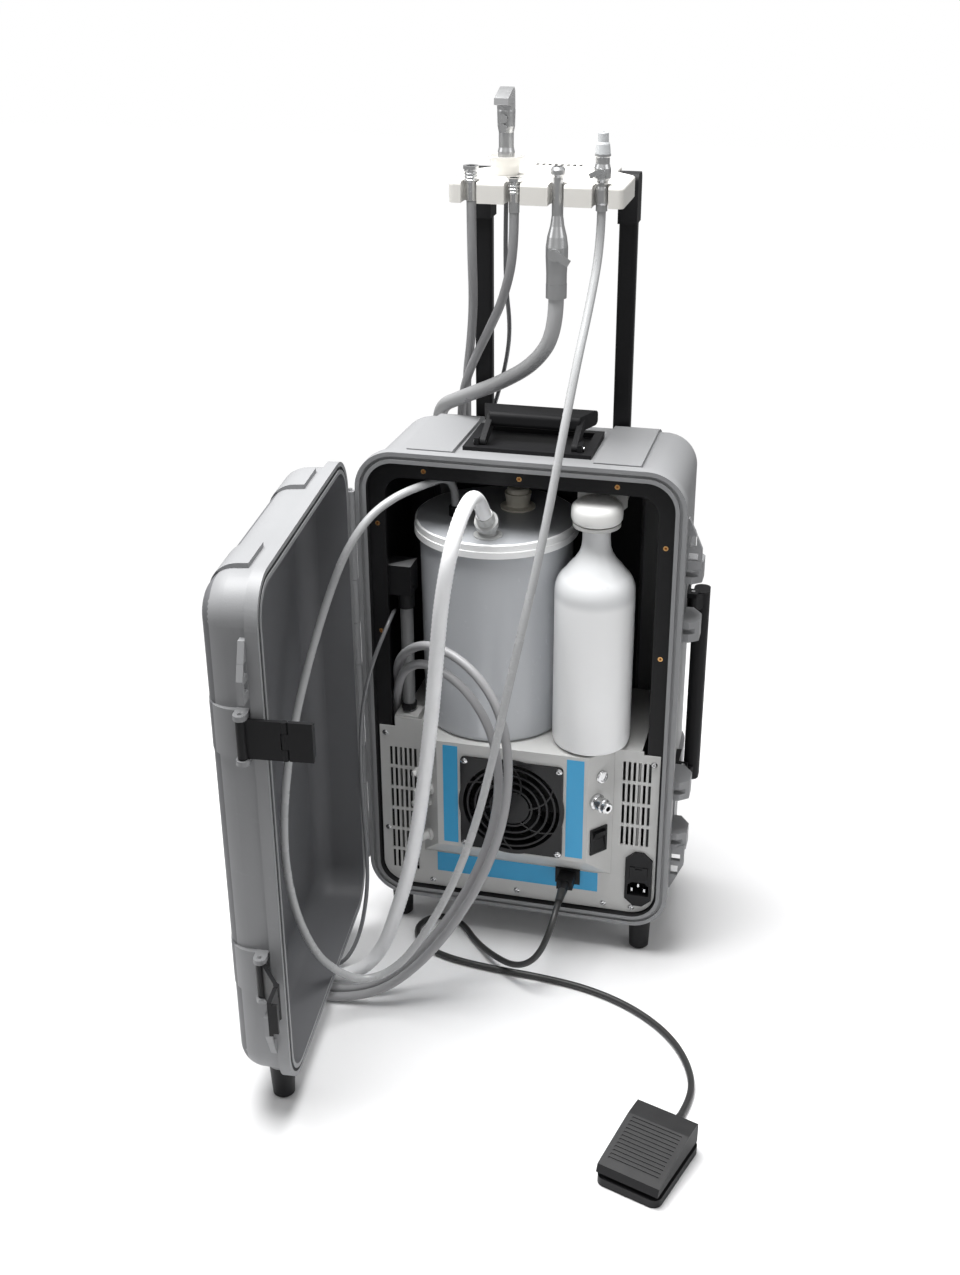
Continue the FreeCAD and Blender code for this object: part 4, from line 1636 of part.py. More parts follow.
def suction_end(out):
    """A point on the axis of the elbow on the tank's lid, so far out from its end."""
    lean = FreeCAD.Rotation(X_AXIS, SUCTION_LEAN)
    base = V(num(SUCTION_PORT[0]), num(SUCTION_PORT[1]),
            num("deck_height + tank_height + lid_plate + 3.1 + 10"))
    return base + lean.multVec(V(0, 0, 25.1 + out))


# ---------------------------------------------------------------- build and write
fasteners = []
make_case()
make_lid()
make_latch("upper_latch", "+", 0, 0)
make_latch("lower_latch", "-", -55, -35)
group("case_pins", make_running_gear() + make_side_handles())
make_telescope()
fasteners += make_chassis()
make_pumps()
make_tank()
fasteners += make_bottle()
group("fasteners", fasteners)
make_tray()
make_instruments()
make_foot_switch()
make_hoses()
doc.recompute()

for item in doc.Objects:
    if "Invalid" in item.State or "Error" in item.State:
        raise ValueError(f"{item.Name} did not compute: {item.State}")
for item in pieces:
    if item.Shape.isNull() or not item.Shape.isValid():
        raise ValueError(f"{item.Label} has no valid shape")
os.makedirs("parts", exist_ok=True)
for item in pieces:
    item.Shape.exportStep(f"parts/{item.Label}.step")
print(len(pieces), "parts written")
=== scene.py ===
import math

import bmesh
import bpy
from mathutils import Matrix, Vector


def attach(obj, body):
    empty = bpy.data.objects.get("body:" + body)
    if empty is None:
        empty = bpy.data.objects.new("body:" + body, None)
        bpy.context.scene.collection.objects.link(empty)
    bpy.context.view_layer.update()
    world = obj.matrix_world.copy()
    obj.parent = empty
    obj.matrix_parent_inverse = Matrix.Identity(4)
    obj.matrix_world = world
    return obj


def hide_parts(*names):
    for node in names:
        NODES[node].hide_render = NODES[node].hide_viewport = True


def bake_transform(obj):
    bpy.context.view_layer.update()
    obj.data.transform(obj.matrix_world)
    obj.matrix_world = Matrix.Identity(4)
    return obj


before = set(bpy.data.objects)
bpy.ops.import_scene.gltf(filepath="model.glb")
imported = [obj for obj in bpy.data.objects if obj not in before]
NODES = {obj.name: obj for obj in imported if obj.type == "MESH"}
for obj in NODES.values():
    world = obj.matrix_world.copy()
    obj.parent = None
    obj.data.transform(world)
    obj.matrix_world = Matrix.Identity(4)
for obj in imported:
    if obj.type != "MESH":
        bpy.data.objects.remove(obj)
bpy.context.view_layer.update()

bl_info = {
    "name": "Portable Dental Unit",
    "version": (1, 0, 0),
    "blender": (4, 5, 0),
    "location": "3D View > Sidebar > Dental Unit",
    "description": "Dresses a wheeled dental unit with its finishes, hoses and small trim",
    "category": "Object",
}

MM = 0.001
UP = Vector((0, 0, 1))


# ------------------------------------------------------------------ settings
def colour_of(label, told, value):
    return bpy.props.FloatVectorProperty(name=label, description=told, default=value, subtype="COLOR", min=0, max=1)


def length_of(label, told, value):
    return bpy.props.FloatProperty(name=label, description=told, default=value, unit="LENGTH", min=0)


class UnitFinishes(bpy.types.PropertyGroup):
    case: colour_of("Case", "Moulded outer shell of case and lid", (0.25, 0.253, 0.26))
    # Lid inside: a darker copy of the case's grey, painted shade for the shade inside the open lid
    lining: colour_of("Lid inside", "Inside face of the lid", (0.12, 0.122, 0.129))
    # Case inside: the case's grey darkened to near black, painted shade for the shade inside the case
    cavity: colour_of("Case inside", "Inside walls of the case", (0.016, 0.016, 0.017))
    black: colour_of("Black plastic", "Handles, ring, latches and feet", (0.010, 0.010, 0.011))
    panel: colour_of("Panel paint", "Powder coat on the sheet metal", (0.55, 0.55, 0.54))
    plate: colour_of("Bare plates", "Blank label plates on the panel", (0.035, 0.36, 0.66))
    tank: colour_of("Tank", "Clouded plastic of the waste tank", (0.66, 0.68, 0.71))
    bottle: colour_of("Bottle", "White plastic of the water bottle", (0.93, 0.935, 0.94))
    tray: colour_of("Tray", "Moulded instrument tray", (0.70, 0.685, 0.65))
    hose: colour_of("Handpiece hose", "Silicone of the handpiece hoses", (0.30, 0.30, 0.307))
    suction: colour_of("Suction hose", "Ribbed suction hose", (0.88, 0.885, 0.895))
    saliva: colour_of("Saliva hose", "Slim clouded hose", (0.40, 0.405, 0.41))
    tube: colour_of("Syringe tube", "Thin tube of the syringe", (0.16, 0.163, 0.17))
    cord: colour_of("Cord", "Rubber of the foot switch's cord", (0.010, 0.010, 0.011))
    brass: colour_of("Brass", "Threaded inserts in the ring", (0.72, 0.42, 0.17))
    steel: colour_of("Bright metal", "Screws and couplings", (0.66, 0.665, 0.67))


class UnitSizes(bpy.types.PropertyGroup):
    suction: length_of("Suction hose", "Outer diameter", 0.0155)
    saliva: length_of("Saliva hose", "Outer diameter", 0.0085)
    handpiece: length_of("Handpiece hose", "Outer diameter", 0.0095)
    tube: length_of("Syringe tube", "Outer diameter", 0.0045)
    cord: length_of("Cord", "Outer diameter", 0.007)
    rib_pitch: length_of("Rib pitch", "From one rib of the suction hose to the next", 0.0052)
    rib_depth: length_of("Rib depth", "Height of the suction hose's ribs", 0.00055)
    lane: length_of("Lane", "Spacing of the hoses that lie side by side", 0.0125)
    plate_thick: length_of("Plate", "Thickness of the blank plates", 0.0003)
    camera_lens: bpy.props.FloatProperty(name="Lens", description="Focal length in millimetres", default=44.09,
                                         min=10)


def finishes():
    return bpy.context.scene.unit_finishes


def sizes():
    return bpy.context.scene.unit_sizes


# ------------------------------------------------------------------ places on the frame's solids, in millimetres
HOLDERS = (-63.5, -20.5, 22.5, 65.5)            # across, the tray's four holders from left to right
TOOL_Y = 71                                     # how far back the tools hang
TRAY_TOP = 839
LYING = {"suction": 8.05, "handpiece": 5.05, "tube": 2.55}      # a lying hose's middle above the floor
DECK = 262
BOTTLE, BOTTLE_BASE = (78.5, 20), 262.3
CAP_HEIGHT = 254                                # the cap's foot above the bottle's base
TANK, RISER, FLOAT_ROD = (-37, 66), (-127, 24), (-50, 60)
SUCTION_ELBOW = (-32, 6, 506.1)
PLUG_EXIT = (59, -26, 92)
PEDAL_AT, PEDAL_TURN = (202, -318, 0), math.radians(-18)
INLET_X, INLET_Z = 139, 65
INLET_BLADES = ((-7, 20), (7, 20), (0, 26))     # across and up from the inlet's foot
FAN_Z, FAN_SCREW, GUARD_Y = 190.5, 52.5, -26.0
PLATE_GAP = 0.02                                # between a bare plate and the panel behind it
MOUTH_HALF_WIDTH, MOUTH_HALF_HEIGHT, MOUTH_CORNER, MOUTH_Z = 160.8, 258.8, 30.8, 310
CAVITY_NEAR, CAVITY_FAR, LID_FAR = 1.5, 160, 53.6
HINGE_X = -177
LID_ALONG, LID_INTO = Vector((0.0993, -0.9951, 0)), Vector((-0.9951, -0.0993, 0))


# The colour is a setting's name, that name with a share, or three values.
DIM = 0.22                                      # dark plastics reflect less
DUST = (0.42, 0.41, 0.39)
FINISHES = {
    "hose_silicone": ("hose", 0.42, dict(grain=2600, depth=0.00003, marks=30, wear=0.10, scratch=0.02)),
    "suction_vinyl": ("suction", 0.30, dict(grain=1500, depth=0.00004, marks=16, wear=0.14, scratch=0.03,
                                            tint=("Y", -0.02, 0.10, ("suction", 0.33)))),
    "saliva_vinyl": ("saliva", 0.26, dict(grain=1800, depth=0.00003, marks=22, wear=0.12, scratch=0.02)),
    "tube_polyurethane": ("tube", 0.20, dict(depth=0.0, marks=30, wear=0.08, scratch=0.02, coat=0.3)),
    "cord_rubber": ("cord", 0.45, dict(grain=2200, depth=0.00003, marks=25, wear=0.08, scratch=0.02, shine=DIM)),

    "case_moulded": ("case", 0.50, dict(grain=700, depth=0.00010, marks=5, wear=0.09, scratch=0.05, dust=0.05)),
    # painted shade: the lid's inside face, darker than the case's own grey
    "lid_lining": ("lining", 0.55, dict(grain=800, marks=6, wear=0.14, scratch=0.05)),
    # painted shade: the case's inside walls, far darker than the case's own grey
    "case_cavity": ("cavity", 0.60, dict(grain=800, marks=7, wear=0.15, scratch=0.03, shine=DIM)),
    "black_moulded": ("black", 0.48, dict(grain=1300, depth=0.00006, marks=14, wear=0.25, scratch=0.05, shine=DIM)),
    "grip_rubber": ("black", 0.62, dict(grain=1800, depth=0.00010, marks=18, wear=0.35, scratch=0.02, shine=DIM)),
    "wheel_rubber": ("black", 0.66, dict(grain=1500, depth=0.00010, marks=22, wear=0.5, scratch=0.04, dust=0.25,
                                         shine=DIM)),
    "latch_steel": ("steel", 0.30, dict(metal=1.0, depth=0.0, marks=30, wear=0.12, scratch=0.10)),
    "post_anodised": ("black", 0.34, dict(depth=0.0, marks=12, wear=0.3, scratch=0.04, shine=0.25)),

    "panel_powder_coat": ("panel", 0.42, dict(grain=2400, depth=0.00004, marks=10, wear=0.06, scratch=0.04)),
    # painted shade: the chassis's sides at half the panel's paint colour, for the shade on them
    "chassis_paint": (("panel", 0.5), 0.5, dict(grain=2400, depth=0.00004, marks=10, wear=0.1)),
    "blank_plate": ("plate", 0.38, dict(grain=3000, depth=0.00001, marks=20, wear=0.05, scratch=0.02)),
    "fitting_black": ("black", 0.40, dict(grain=1600, depth=0.00004, marks=20, wear=0.25, scratch=0.04, shine=DIM)),
    "guard_black": ("black", 0.32, dict(depth=0.0, marks=24, wear=0.3, scratch=0.05, coat=0.2, shine=DIM)),
    "plated_metal": ("steel", 0.20, dict(metal=1.0, depth=0.0, marks=20, wear=0.06, scratch=0.04)),
    "insert_brass": ("brass", 0.28, dict(metal=1.0, depth=0.0, marks=60, wear=0.2, scratch=0.05)),
    "valve_white": ((0.62, 0.62, 0.61), 0.35, dict(grain=1800, depth=0.00003, marks=30, scratch=0.02)),
    "pump_cast": ((0.30, 0.30, 0.31), 0.55, dict(metal=0.6, depth=0.0001, marks=15, wear=0.2)),
    "recess_shadow": ((0.02, 0.02, 0.02), 0.6, dict(metal=0.6, depth=0.0, marks=60, wear=0.2, shine=DIM)),

    "tank_cloudy": ("tank", 0.24, dict(depth=0.0, marks=3, wear=0.08, scratch=0.01, alpha=0.76, coat=0.4)),
    "tank_cover": (("tank", 0.75), 0.22, dict(grain=600, depth=0.00003, marks=8, wear=0.14, scratch=0.03, coat=0.2,
                                              alpha=0.86)),
    # painted highlight: the tank lid's rim, half again as light as the tank
    "tank_rim": (("tank", 1.5), 0.25, dict(depth=0.0, marks=14, wear=0.12)),
    "port_grey": ((0.50, 0.505, 0.50), 0.30, dict(grain=1500, depth=0.00003, marks=24, wear=0.14, scratch=0.04)),
    "port_cream": ((0.78, 0.74, 0.64), 0.32, dict(grain=1500, depth=0.00003, marks=24, wear=0.12, scratch=0.02)),
    "riser_grey": ((0.20, 0.202, 0.205), 0.42, dict(grain=1500, depth=0.00003, marks=20, wear=0.12)),
    "bottle_white": ("bottle", 0.30, dict(depth=0.0, marks=8, wear=0.03, scratch=0.01,
                                          tint=("Z", 0.430, 0.440, (0.74, 0.75, 0.76)))),
    "cap_white": ((0.91, 0.91, 0.89), 0.36, dict(grain=1800, depth=0.00003, marks=16, wear=0.04, scratch=0.01)),

    "tray_moulded": ("tray", 0.34, dict(grain=1500, depth=0.00003, wear=0.05, scratch=0.02)),
    "instrument_satin": ((0.50, 0.505, 0.51), 0.30, dict(metal=0.9, depth=0.0, marks=18, wear=0.06, scratch=0.02)),
    "tip_white": ((0.52, 0.535, 0.545), 0.30, dict(depth=0.0, marks=40, wear=0.08, scratch=0.02)),

    "pedal_base": ("black", 0.50, dict(grain=1400, marks=20, wear=0.3, shine=DIM)),
    "pedal_tread": (("black", 1.1), 0.50, dict(grain=1800, depth=0.00006, marks=24, wear=0.3, dust=0.03, shine=DIM)),
}


# ------------------------------------------------------------------ node groups
def new_group(name, inputs, outputs):
    group = bpy.data.node_groups.new(name, "ShaderNodeTree")
    for label, kind, value in inputs:
        socket = group.interface.new_socket(label, in_out="INPUT", socket_type=kind)
        if value is not None:
            socket.default_value = value
    for label, kind in outputs:
        group.interface.new_socket(label, in_out="OUTPUT", socket_type=kind)
    return group, group.nodes.new("NodeGroupInput"), group.nodes.new("NodeGroupOutput")


def maths(tree, kind, first, second):
    """A Math node; each input is a socket or a number."""
    node = tree.nodes.new("ShaderNodeMath")
    node.operation = kind
    for socket, value in zip(node.inputs, (first, second)):
        if isinstance(value, bpy.types.NodeSocket):
            tree.links.new(value, socket)
        else:
            socket.default_value = value
    return node.outputs[0]


def noise(tree, vector, scale, detail, rough=0.5):
    node = tree.nodes.new("ShaderNodeTexNoise")
    node.inputs["Detail"].default_value = detail
    node.inputs["Roughness"].default_value = rough
    tree.links.new(vector, node.inputs["Vector"])
    if isinstance(scale, bpy.types.NodeSocket):
        tree.links.new(scale, node.inputs["Scale"])
    else:
        node.inputs["Scale"].default_value = scale
    return node.outputs["Fac"]


def grain_group():
    """Moulded surface: pebbled cells with a finer noise over them."""
    name = "moulded_grain"
    if name in bpy.data.node_groups:
        return bpy.data.node_groups[name]
    group, given, result = new_group(
        name, [("Vector", "NodeSocketVector", None), ("Scale", "NodeSocketFloat", 900.0)],
        [("Height", "NodeSocketFloat")])
    cells = group.nodes.new("ShaderNodeTexVoronoi")
    cells.feature = "SMOOTH_F1"
    cells.inputs["Smoothness"].default_value = 0.6
    group.links.new(given.outputs["Vector"], cells.inputs["Vector"])
    group.links.new(given.outputs["Scale"], cells.inputs["Scale"])
    fine = noise(group, given.outputs["Vector"], maths(group, "MULTIPLY", given.outputs["Scale"], 2.3), 3.0)
    mixed = maths(group, "ADD", maths(group, "MULTIPLY", cells.outputs["Distance"], 0.7),
                  maths(group, "MULTIPLY", fine, 0.3))
    group.links.new(mixed, result.inputs["Height"])
    return group


def marks_group():
    """Handling marks: broad cloudiness, fine scuffs and short scratches, as a mask from 0 to 1."""
    name = "handling_marks"
    if name in bpy.data.node_groups:
        return bpy.data.node_groups[name]
    group, given, result = new_group(
        name, [("Vector", "NodeSocketVector", None), ("Scale", "NodeSocketFloat", 9.0)],
        [("Cloud", "NodeSocketFloat"), ("Scratch", "NodeSocketFloat")])
    cloud = noise(group, given.outputs["Vector"], given.outputs["Scale"], 5.0, 0.62)
    group.links.new(cloud, result.inputs["Cloud"])
    stretch = group.nodes.new("ShaderNodeMapping")
    stretch.inputs["Rotation"].default_value = (0.4, 0.7, 0.5)
    stretch.inputs["Scale"].default_value = (1.0, 14.0, 3.0)
    group.links.new(given.outputs["Vector"], stretch.inputs["Vector"])
    lines = noise(group, stretch.outputs["Vector"], maths(group, "MULTIPLY", given.outputs["Scale"], 6.0), 4.0, 0.7)
    ramp = group.nodes.new("ShaderNodeValToRGB")
    ramp.color_ramp.elements[0].position = 0.60
    ramp.color_ramp.elements[1].position = 0.72
    group.links.new(lines, ramp.inputs["Fac"])
    group.links.new(ramp.outputs["Color"], result.inputs["Scratch"])
    return group


def dust_group():
    """Dust that settles on what faces up, as a mask."""
    name = "settled_dust"
    if name in bpy.data.node_groups:
        return bpy.data.node_groups[name]
    group, given, result = new_group(
        name, [("Vector", "NodeSocketVector", None), ("Normal", "NodeSocketVector", None)],
        [("Mask", "NodeSocketFloat")])
    facing = maths(group, "MAXIMUM", part_of(group, given.outputs["Normal"], "Z"), 0.0)
    specks = noise(group, given.outputs["Vector"], 60.0, 6.0, 0.7)
    group.links.new(maths(group, "MULTIPLY", facing, specks), result.inputs["Mask"])
    return group


def use_group(tree, group, **values):
    node = tree.nodes.new("ShaderNodeGroup")
    node.node_tree = group
    for label, value in values.items():
        socket = node.inputs[label]
        if isinstance(value, bpy.types.NodeSocket):
            tree.links.new(value, socket)
        else:
            socket.default_value = value
    return node


def blend_colour(tree, factor, first, second):
    node = tree.nodes.new("ShaderNodeMix")
    node.data_type = "RGBA"
    tree.links.new(factor, node.inputs["Factor"])
    for socket, value in ((node.inputs[6], first), (node.inputs[7], second)):
        if isinstance(value, bpy.types.NodeSocket):
            tree.links.new(value, socket)
        else:
            socket.default_value = (*value, 1.0)
    return node.outputs[2]


def part_of(tree, vector, axis):
    split = tree.nodes.new("ShaderNodeSeparateXYZ")
    tree.links.new(vector, split.inputs["Vector"])
    return split.outputs[axis]


def climb(tree, value, low, high):
    """Goes smoothly from 0 to 1 as a value goes from low to high."""
    edge = tree.nodes.new("ShaderNodeMapRange")
    edge.interpolation_type = "SMOOTHSTEP"
    edge.inputs["From Min"].default_value = low
    edge.inputs["From Max"].default_value = high
    tree.links.new(value, edge.inputs["Value"])
    return edge.outputs["Result"]


def colour_named(colour):
    """The three values of a colour, however its row gives it."""
    if isinstance(colour, str):
        return tuple(getattr(finishes(), colour))
    if isinstance(colour[0], str):
        setting, share = colour
        return tuple(min(1.0, share*c) for c in getattr(finishes(), setting))
    return colour


def finish(name, colour, rough, metal=0.0, grain=900.0, depth=0.00008, marks=9.0, wear=0.10, scratch=0.06, dust=0.0,
           alpha=None, coat=0.0, shine=0.5, tint=None):
    """One material: its colour with cloudy wear, scratches, moulded grain and, if asked, dust or a second tint."""
    rough_spread, scratch_rough, scratch_gain, scratch_pale, scratch_lift = 0.22, 0.10, 3, 1.35, 0.02
    material = bpy.data.materials.new(name)
    material.use_nodes = True
    tree = material.node_tree
    shader = tree.nodes["Principled BSDF"]
    where = tree.nodes.new("ShaderNodeTexCoord").outputs["Object"]
    used = use_group(tree, marks_group(), Vector=where, Scale=marks)
    colour = colour_named(colour)
    darker = tuple(c*(1.0 - wear) for c in colour)
    lighter = tuple(min(1.0, c*(1.0 + 0.6*wear)) for c in colour)
    base = blend_colour(tree, used.outputs["Cloud"], darker, lighter)
    pale = tuple(min(1.0, c*scratch_pale + scratch_lift) for c in colour)
    base = blend_colour(tree, maths(tree, "MULTIPLY", used.outputs["Scratch"], scratch*scratch_gain), base, pale)
    if tint:
        axis, low, high, other = tint
        base = blend_colour(tree, climb(tree, part_of(tree, where, axis), low, high), base, colour_named(other))
    if dust:
        facing = tree.nodes.new("ShaderNodeNewGeometry").outputs["Normal"]
        fallen = use_group(tree, dust_group(), Vector=where, Normal=facing)
        base = blend_colour(tree, maths(tree, "MULTIPLY", fallen.outputs["Mask"], dust), base, DUST)
    tree.links.new(base, shader.inputs["Base Color"])
    dull = maths(tree, "MULTIPLY", used.outputs["Cloud"], rough_spread)
    dull = maths(tree, "ADD", dull, rough - rough_spread/2)
    dull = maths(tree, "ADD", dull, maths(tree, "MULTIPLY", used.outputs["Scratch"], scratch_rough))
    tree.links.new(dull, shader.inputs["Roughness"])
    shader.inputs["Specular IOR Level"].default_value = shine
    if depth:
        pebbles = use_group(tree, grain_group(), Vector=where, Scale=grain)
        bump = tree.nodes.new("ShaderNodeBump")
        bump.inputs["Strength"].default_value = 0.6
        bump.inputs["Distance"].default_value = depth
        tree.links.new(pebbles.outputs["Height"], bump.inputs["Height"])
        tree.links.new(bump.outputs["Normal"], shader.inputs["Normal"])
    shader.inputs["Metallic"].default_value = metal
    shader.inputs["Coat Weight"].default_value = coat
    if coat:
        shader.inputs["Coat Roughness"].default_value = 0.12
    if alpha is not None:
        shader.inputs["Alpha"].default_value = alpha
        material.surface_render_method = "DITHERED"
    return material


def look(name):
    """The material of that name, made from its row when it is first wanted."""
    if name in bpy.data.materials:
        return bpy.data.materials[name]
    colour, rough, more = FINISHES[name]
    return finish(name, colour, rough, **more)


def dress(named, *nodes):
    for node in nodes:
        mesh = NODES[node].data
        mesh.materials.clear()
        mesh.materials.append(look(named))
        for face in mesh.polygons:
            face.material_index = 0


def dress_part(node, named, chosen):
    """Gives another finish to those faces of a node whose centre, in millimetres, and normal are chosen."""
    mesh = NODES[node].data
    mesh.materials.append(look(named))
    index = len(mesh.materials) - 1
    for face in mesh.polygons:
        if chosen(face.center/MM, face.normal):
            face.material_index = index


# ------------------------------------------------------------------ shaping
def keep(form, name, body, named, smooth=30, replaced=()):
    """Turns a finished bmesh into a piece that rides on a body, if one is given."""
    bmesh.ops.remove_doubles(form, verts=form.verts, dist=1e-7)
    bmesh.ops.recalc_face_normals(form, faces=form.faces)
    mesh = bpy.data.meshes.new(name)
    form.to_mesh(mesh)
    form.free()
    piece = bpy.data.objects.new(name, mesh)
    bpy.context.scene.collection.objects.link(piece)
    mesh.shade_smooth()
    mesh.set_sharp_from_angle(angle=math.radians(smooth))
    mesh.materials.append(look(named))
    if body:
        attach(piece, body)
    if replaced:
        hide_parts(*replaced)
    return piece


def spun(form, profile, centre, axis=UP, steps=64):
    """Adds a solid of revolution: profile gives radius and height along axis in millimetres."""
    start = len(form.verts)
    turn = UP.rotation_difference(Vector(axis)).to_matrix().to_4x4()
    place = Matrix.Translation(Vector(centre)*MM) @ turn
    points = [form.verts.new(place @ Vector((r*MM, 0, z*MM))) for r, z in profile]
    edges = [form.edges.new(pair) for pair in zip(points, points[1:])]
    bmesh.ops.spin(form, geom=points + edges, cent=place @ Vector(), axis=(turn @ UP.to_4d()).to_3d(),
                   angle=math.tau, steps=steps, use_merge=True)
    form.verts.ensure_lookup_table()
    bmesh.ops.remove_doubles(form, verts=form.verts[start:], dist=1e-6)


def block(form, low, high):
    """Adds a block between two corners in millimetres."""
    low, high = Vector(low)*MM, Vector(high)*MM
    made = bmesh.ops.create_cube(form, size=1.0)["verts"]
    bmesh.ops.scale(form, vec=high - low, verts=made)
    bmesh.ops.translate(form, vec=(low + high)/2, verts=made)


# ------------------------------------------------------------------ hoses
def around(lane, rise):
    """The shared way from behind the case to the floor at its left; a lane lies further out."""
    out = sizes().lane/MM*lane
    return [(-122, 208 + out, 430), (-123, 207 + out, 330), (-127, 208 + out, 235), (-136, 209 + out, 150),
            (-156 - 0.2*out, 210 + out, 76), (-186 - 0.4*out, 204 + 0.95*out, 26),
            (-214 - 0.65*out, 174 + 0.75*out, rise), (-236 - 0.93*out, 110 + 0.35*out, rise),
            (-243 - out, 30, rise), (-234 - 0.97*out, -46 - 0.25*out, rise),
            (-208 - 0.72*out, -102 - 0.7*out, rise)]


def spline_line(name, points):
    """The points of the smooth line that a route's NURBS spline makes."""
    curve = bpy.data.curves.new(name + "_line", "CURVE")
    curve.dimensions = "3D"
    spline = curve.splines.new("NURBS")
    spline.points.add(len(points) - 1)
    for point, place in zip(spline.points, points):
        point.co = (*(Vector(place)*MM), 1.0)
    spline.order_u = 3
    spline.use_endpoint_u = True
    spline.resolution_u = 14
    line = bpy.data.objects.new(name + "_line", curve)
    bpy.context.scene.collection.objects.link(line)
    bpy.context.view_layer.update()
    mesh = bpy.data.meshes.new_from_object(line)
    found = [v.co.copy() for v in mesh.vertices]
    bpy.data.objects.remove(line)
    bpy.data.meshes.remove(mesh)
    return found


def stations(line, pitch):
    """Evenly spaced points along a line, with both ends."""
    lengths = [(b - a).length for a, b in zip(line, line[1:])]
    total = sum(lengths)
    count = max(2, round(total/pitch))
    found, done, i = [line[0].copy()], 0.0, 0
    for k in range(1, count):
        goal = total*k/count
        while done + lengths[i] < goal:
            done += lengths[i]
            i += 1
        found.append(line[i].lerp(line[i + 1], (goal - done)/lengths[i]))
    return found + [line[-1].copy()]


def tube(name, points, diameter, pitch, shape, sides, node, slot, named, stiffness, body=None):
    """A hose along its route's spline. shape gives the share of the radius at each station."""
    path = stations(spline_line(name, points), pitch)
    form = bmesh.new()
    ahead = (path[1] - path[0]).normalized()
    ring = bmesh.ops.create_circle(form, cap_ends=False, radius=diameter/2, segments=sides)["verts"]
    bmesh.ops.transform(form, matrix=UP.rotation_difference(ahead).to_matrix().to_4x4(), verts=ring)
    bmesh.ops.translate(form, vec=path[0], verts=ring)
    rim = list({e for v in ring for e in v.link_edges})
    bmesh.ops.contextual_create(form, geom=rim)
    share, here = 1.0, path[0]
    for i in range(1, len(path)):
        after = path[min(i + 1, len(path) - 1)] - path[i - 1]
        turn = ahead.rotation_difference(after.normalized())
        made = bmesh.ops.extrude_edge_only(form, edges=rim)["geom"]
        ring = [g for g in made if isinstance(g, bmesh.types.BMVert)]
        rim = [g for g in made if isinstance(g, bmesh.types.BMEdge)]
        fresh = shape(i, len(path) - 1)
        step = (Matrix.Translation(path[i]) @ turn.to_matrix().to_4x4() @ Matrix.Scale(fresh/share, 4)
                @ Matrix.Translation(-here))
        bmesh.ops.transform(form, matrix=step, verts=ring)
        ahead, share, here = after.normalized(), fresh, path[i]
    bmesh.ops.contextual_create(form, geom=rim)
    piece = keep(form, name, body, named, smooth=50, replaced=[node])
    return piece


def plain(i, last):
    return 1.0


def ribbed(i, last):
    """Ribs on the hose's far half, which leads to the tank; the near half is smooth."""
    depth = 2*sizes().rib_depth/sizes().suction
    return 1.0 - depth if i > 0.52*last and i % 2 and i != last else 1.0


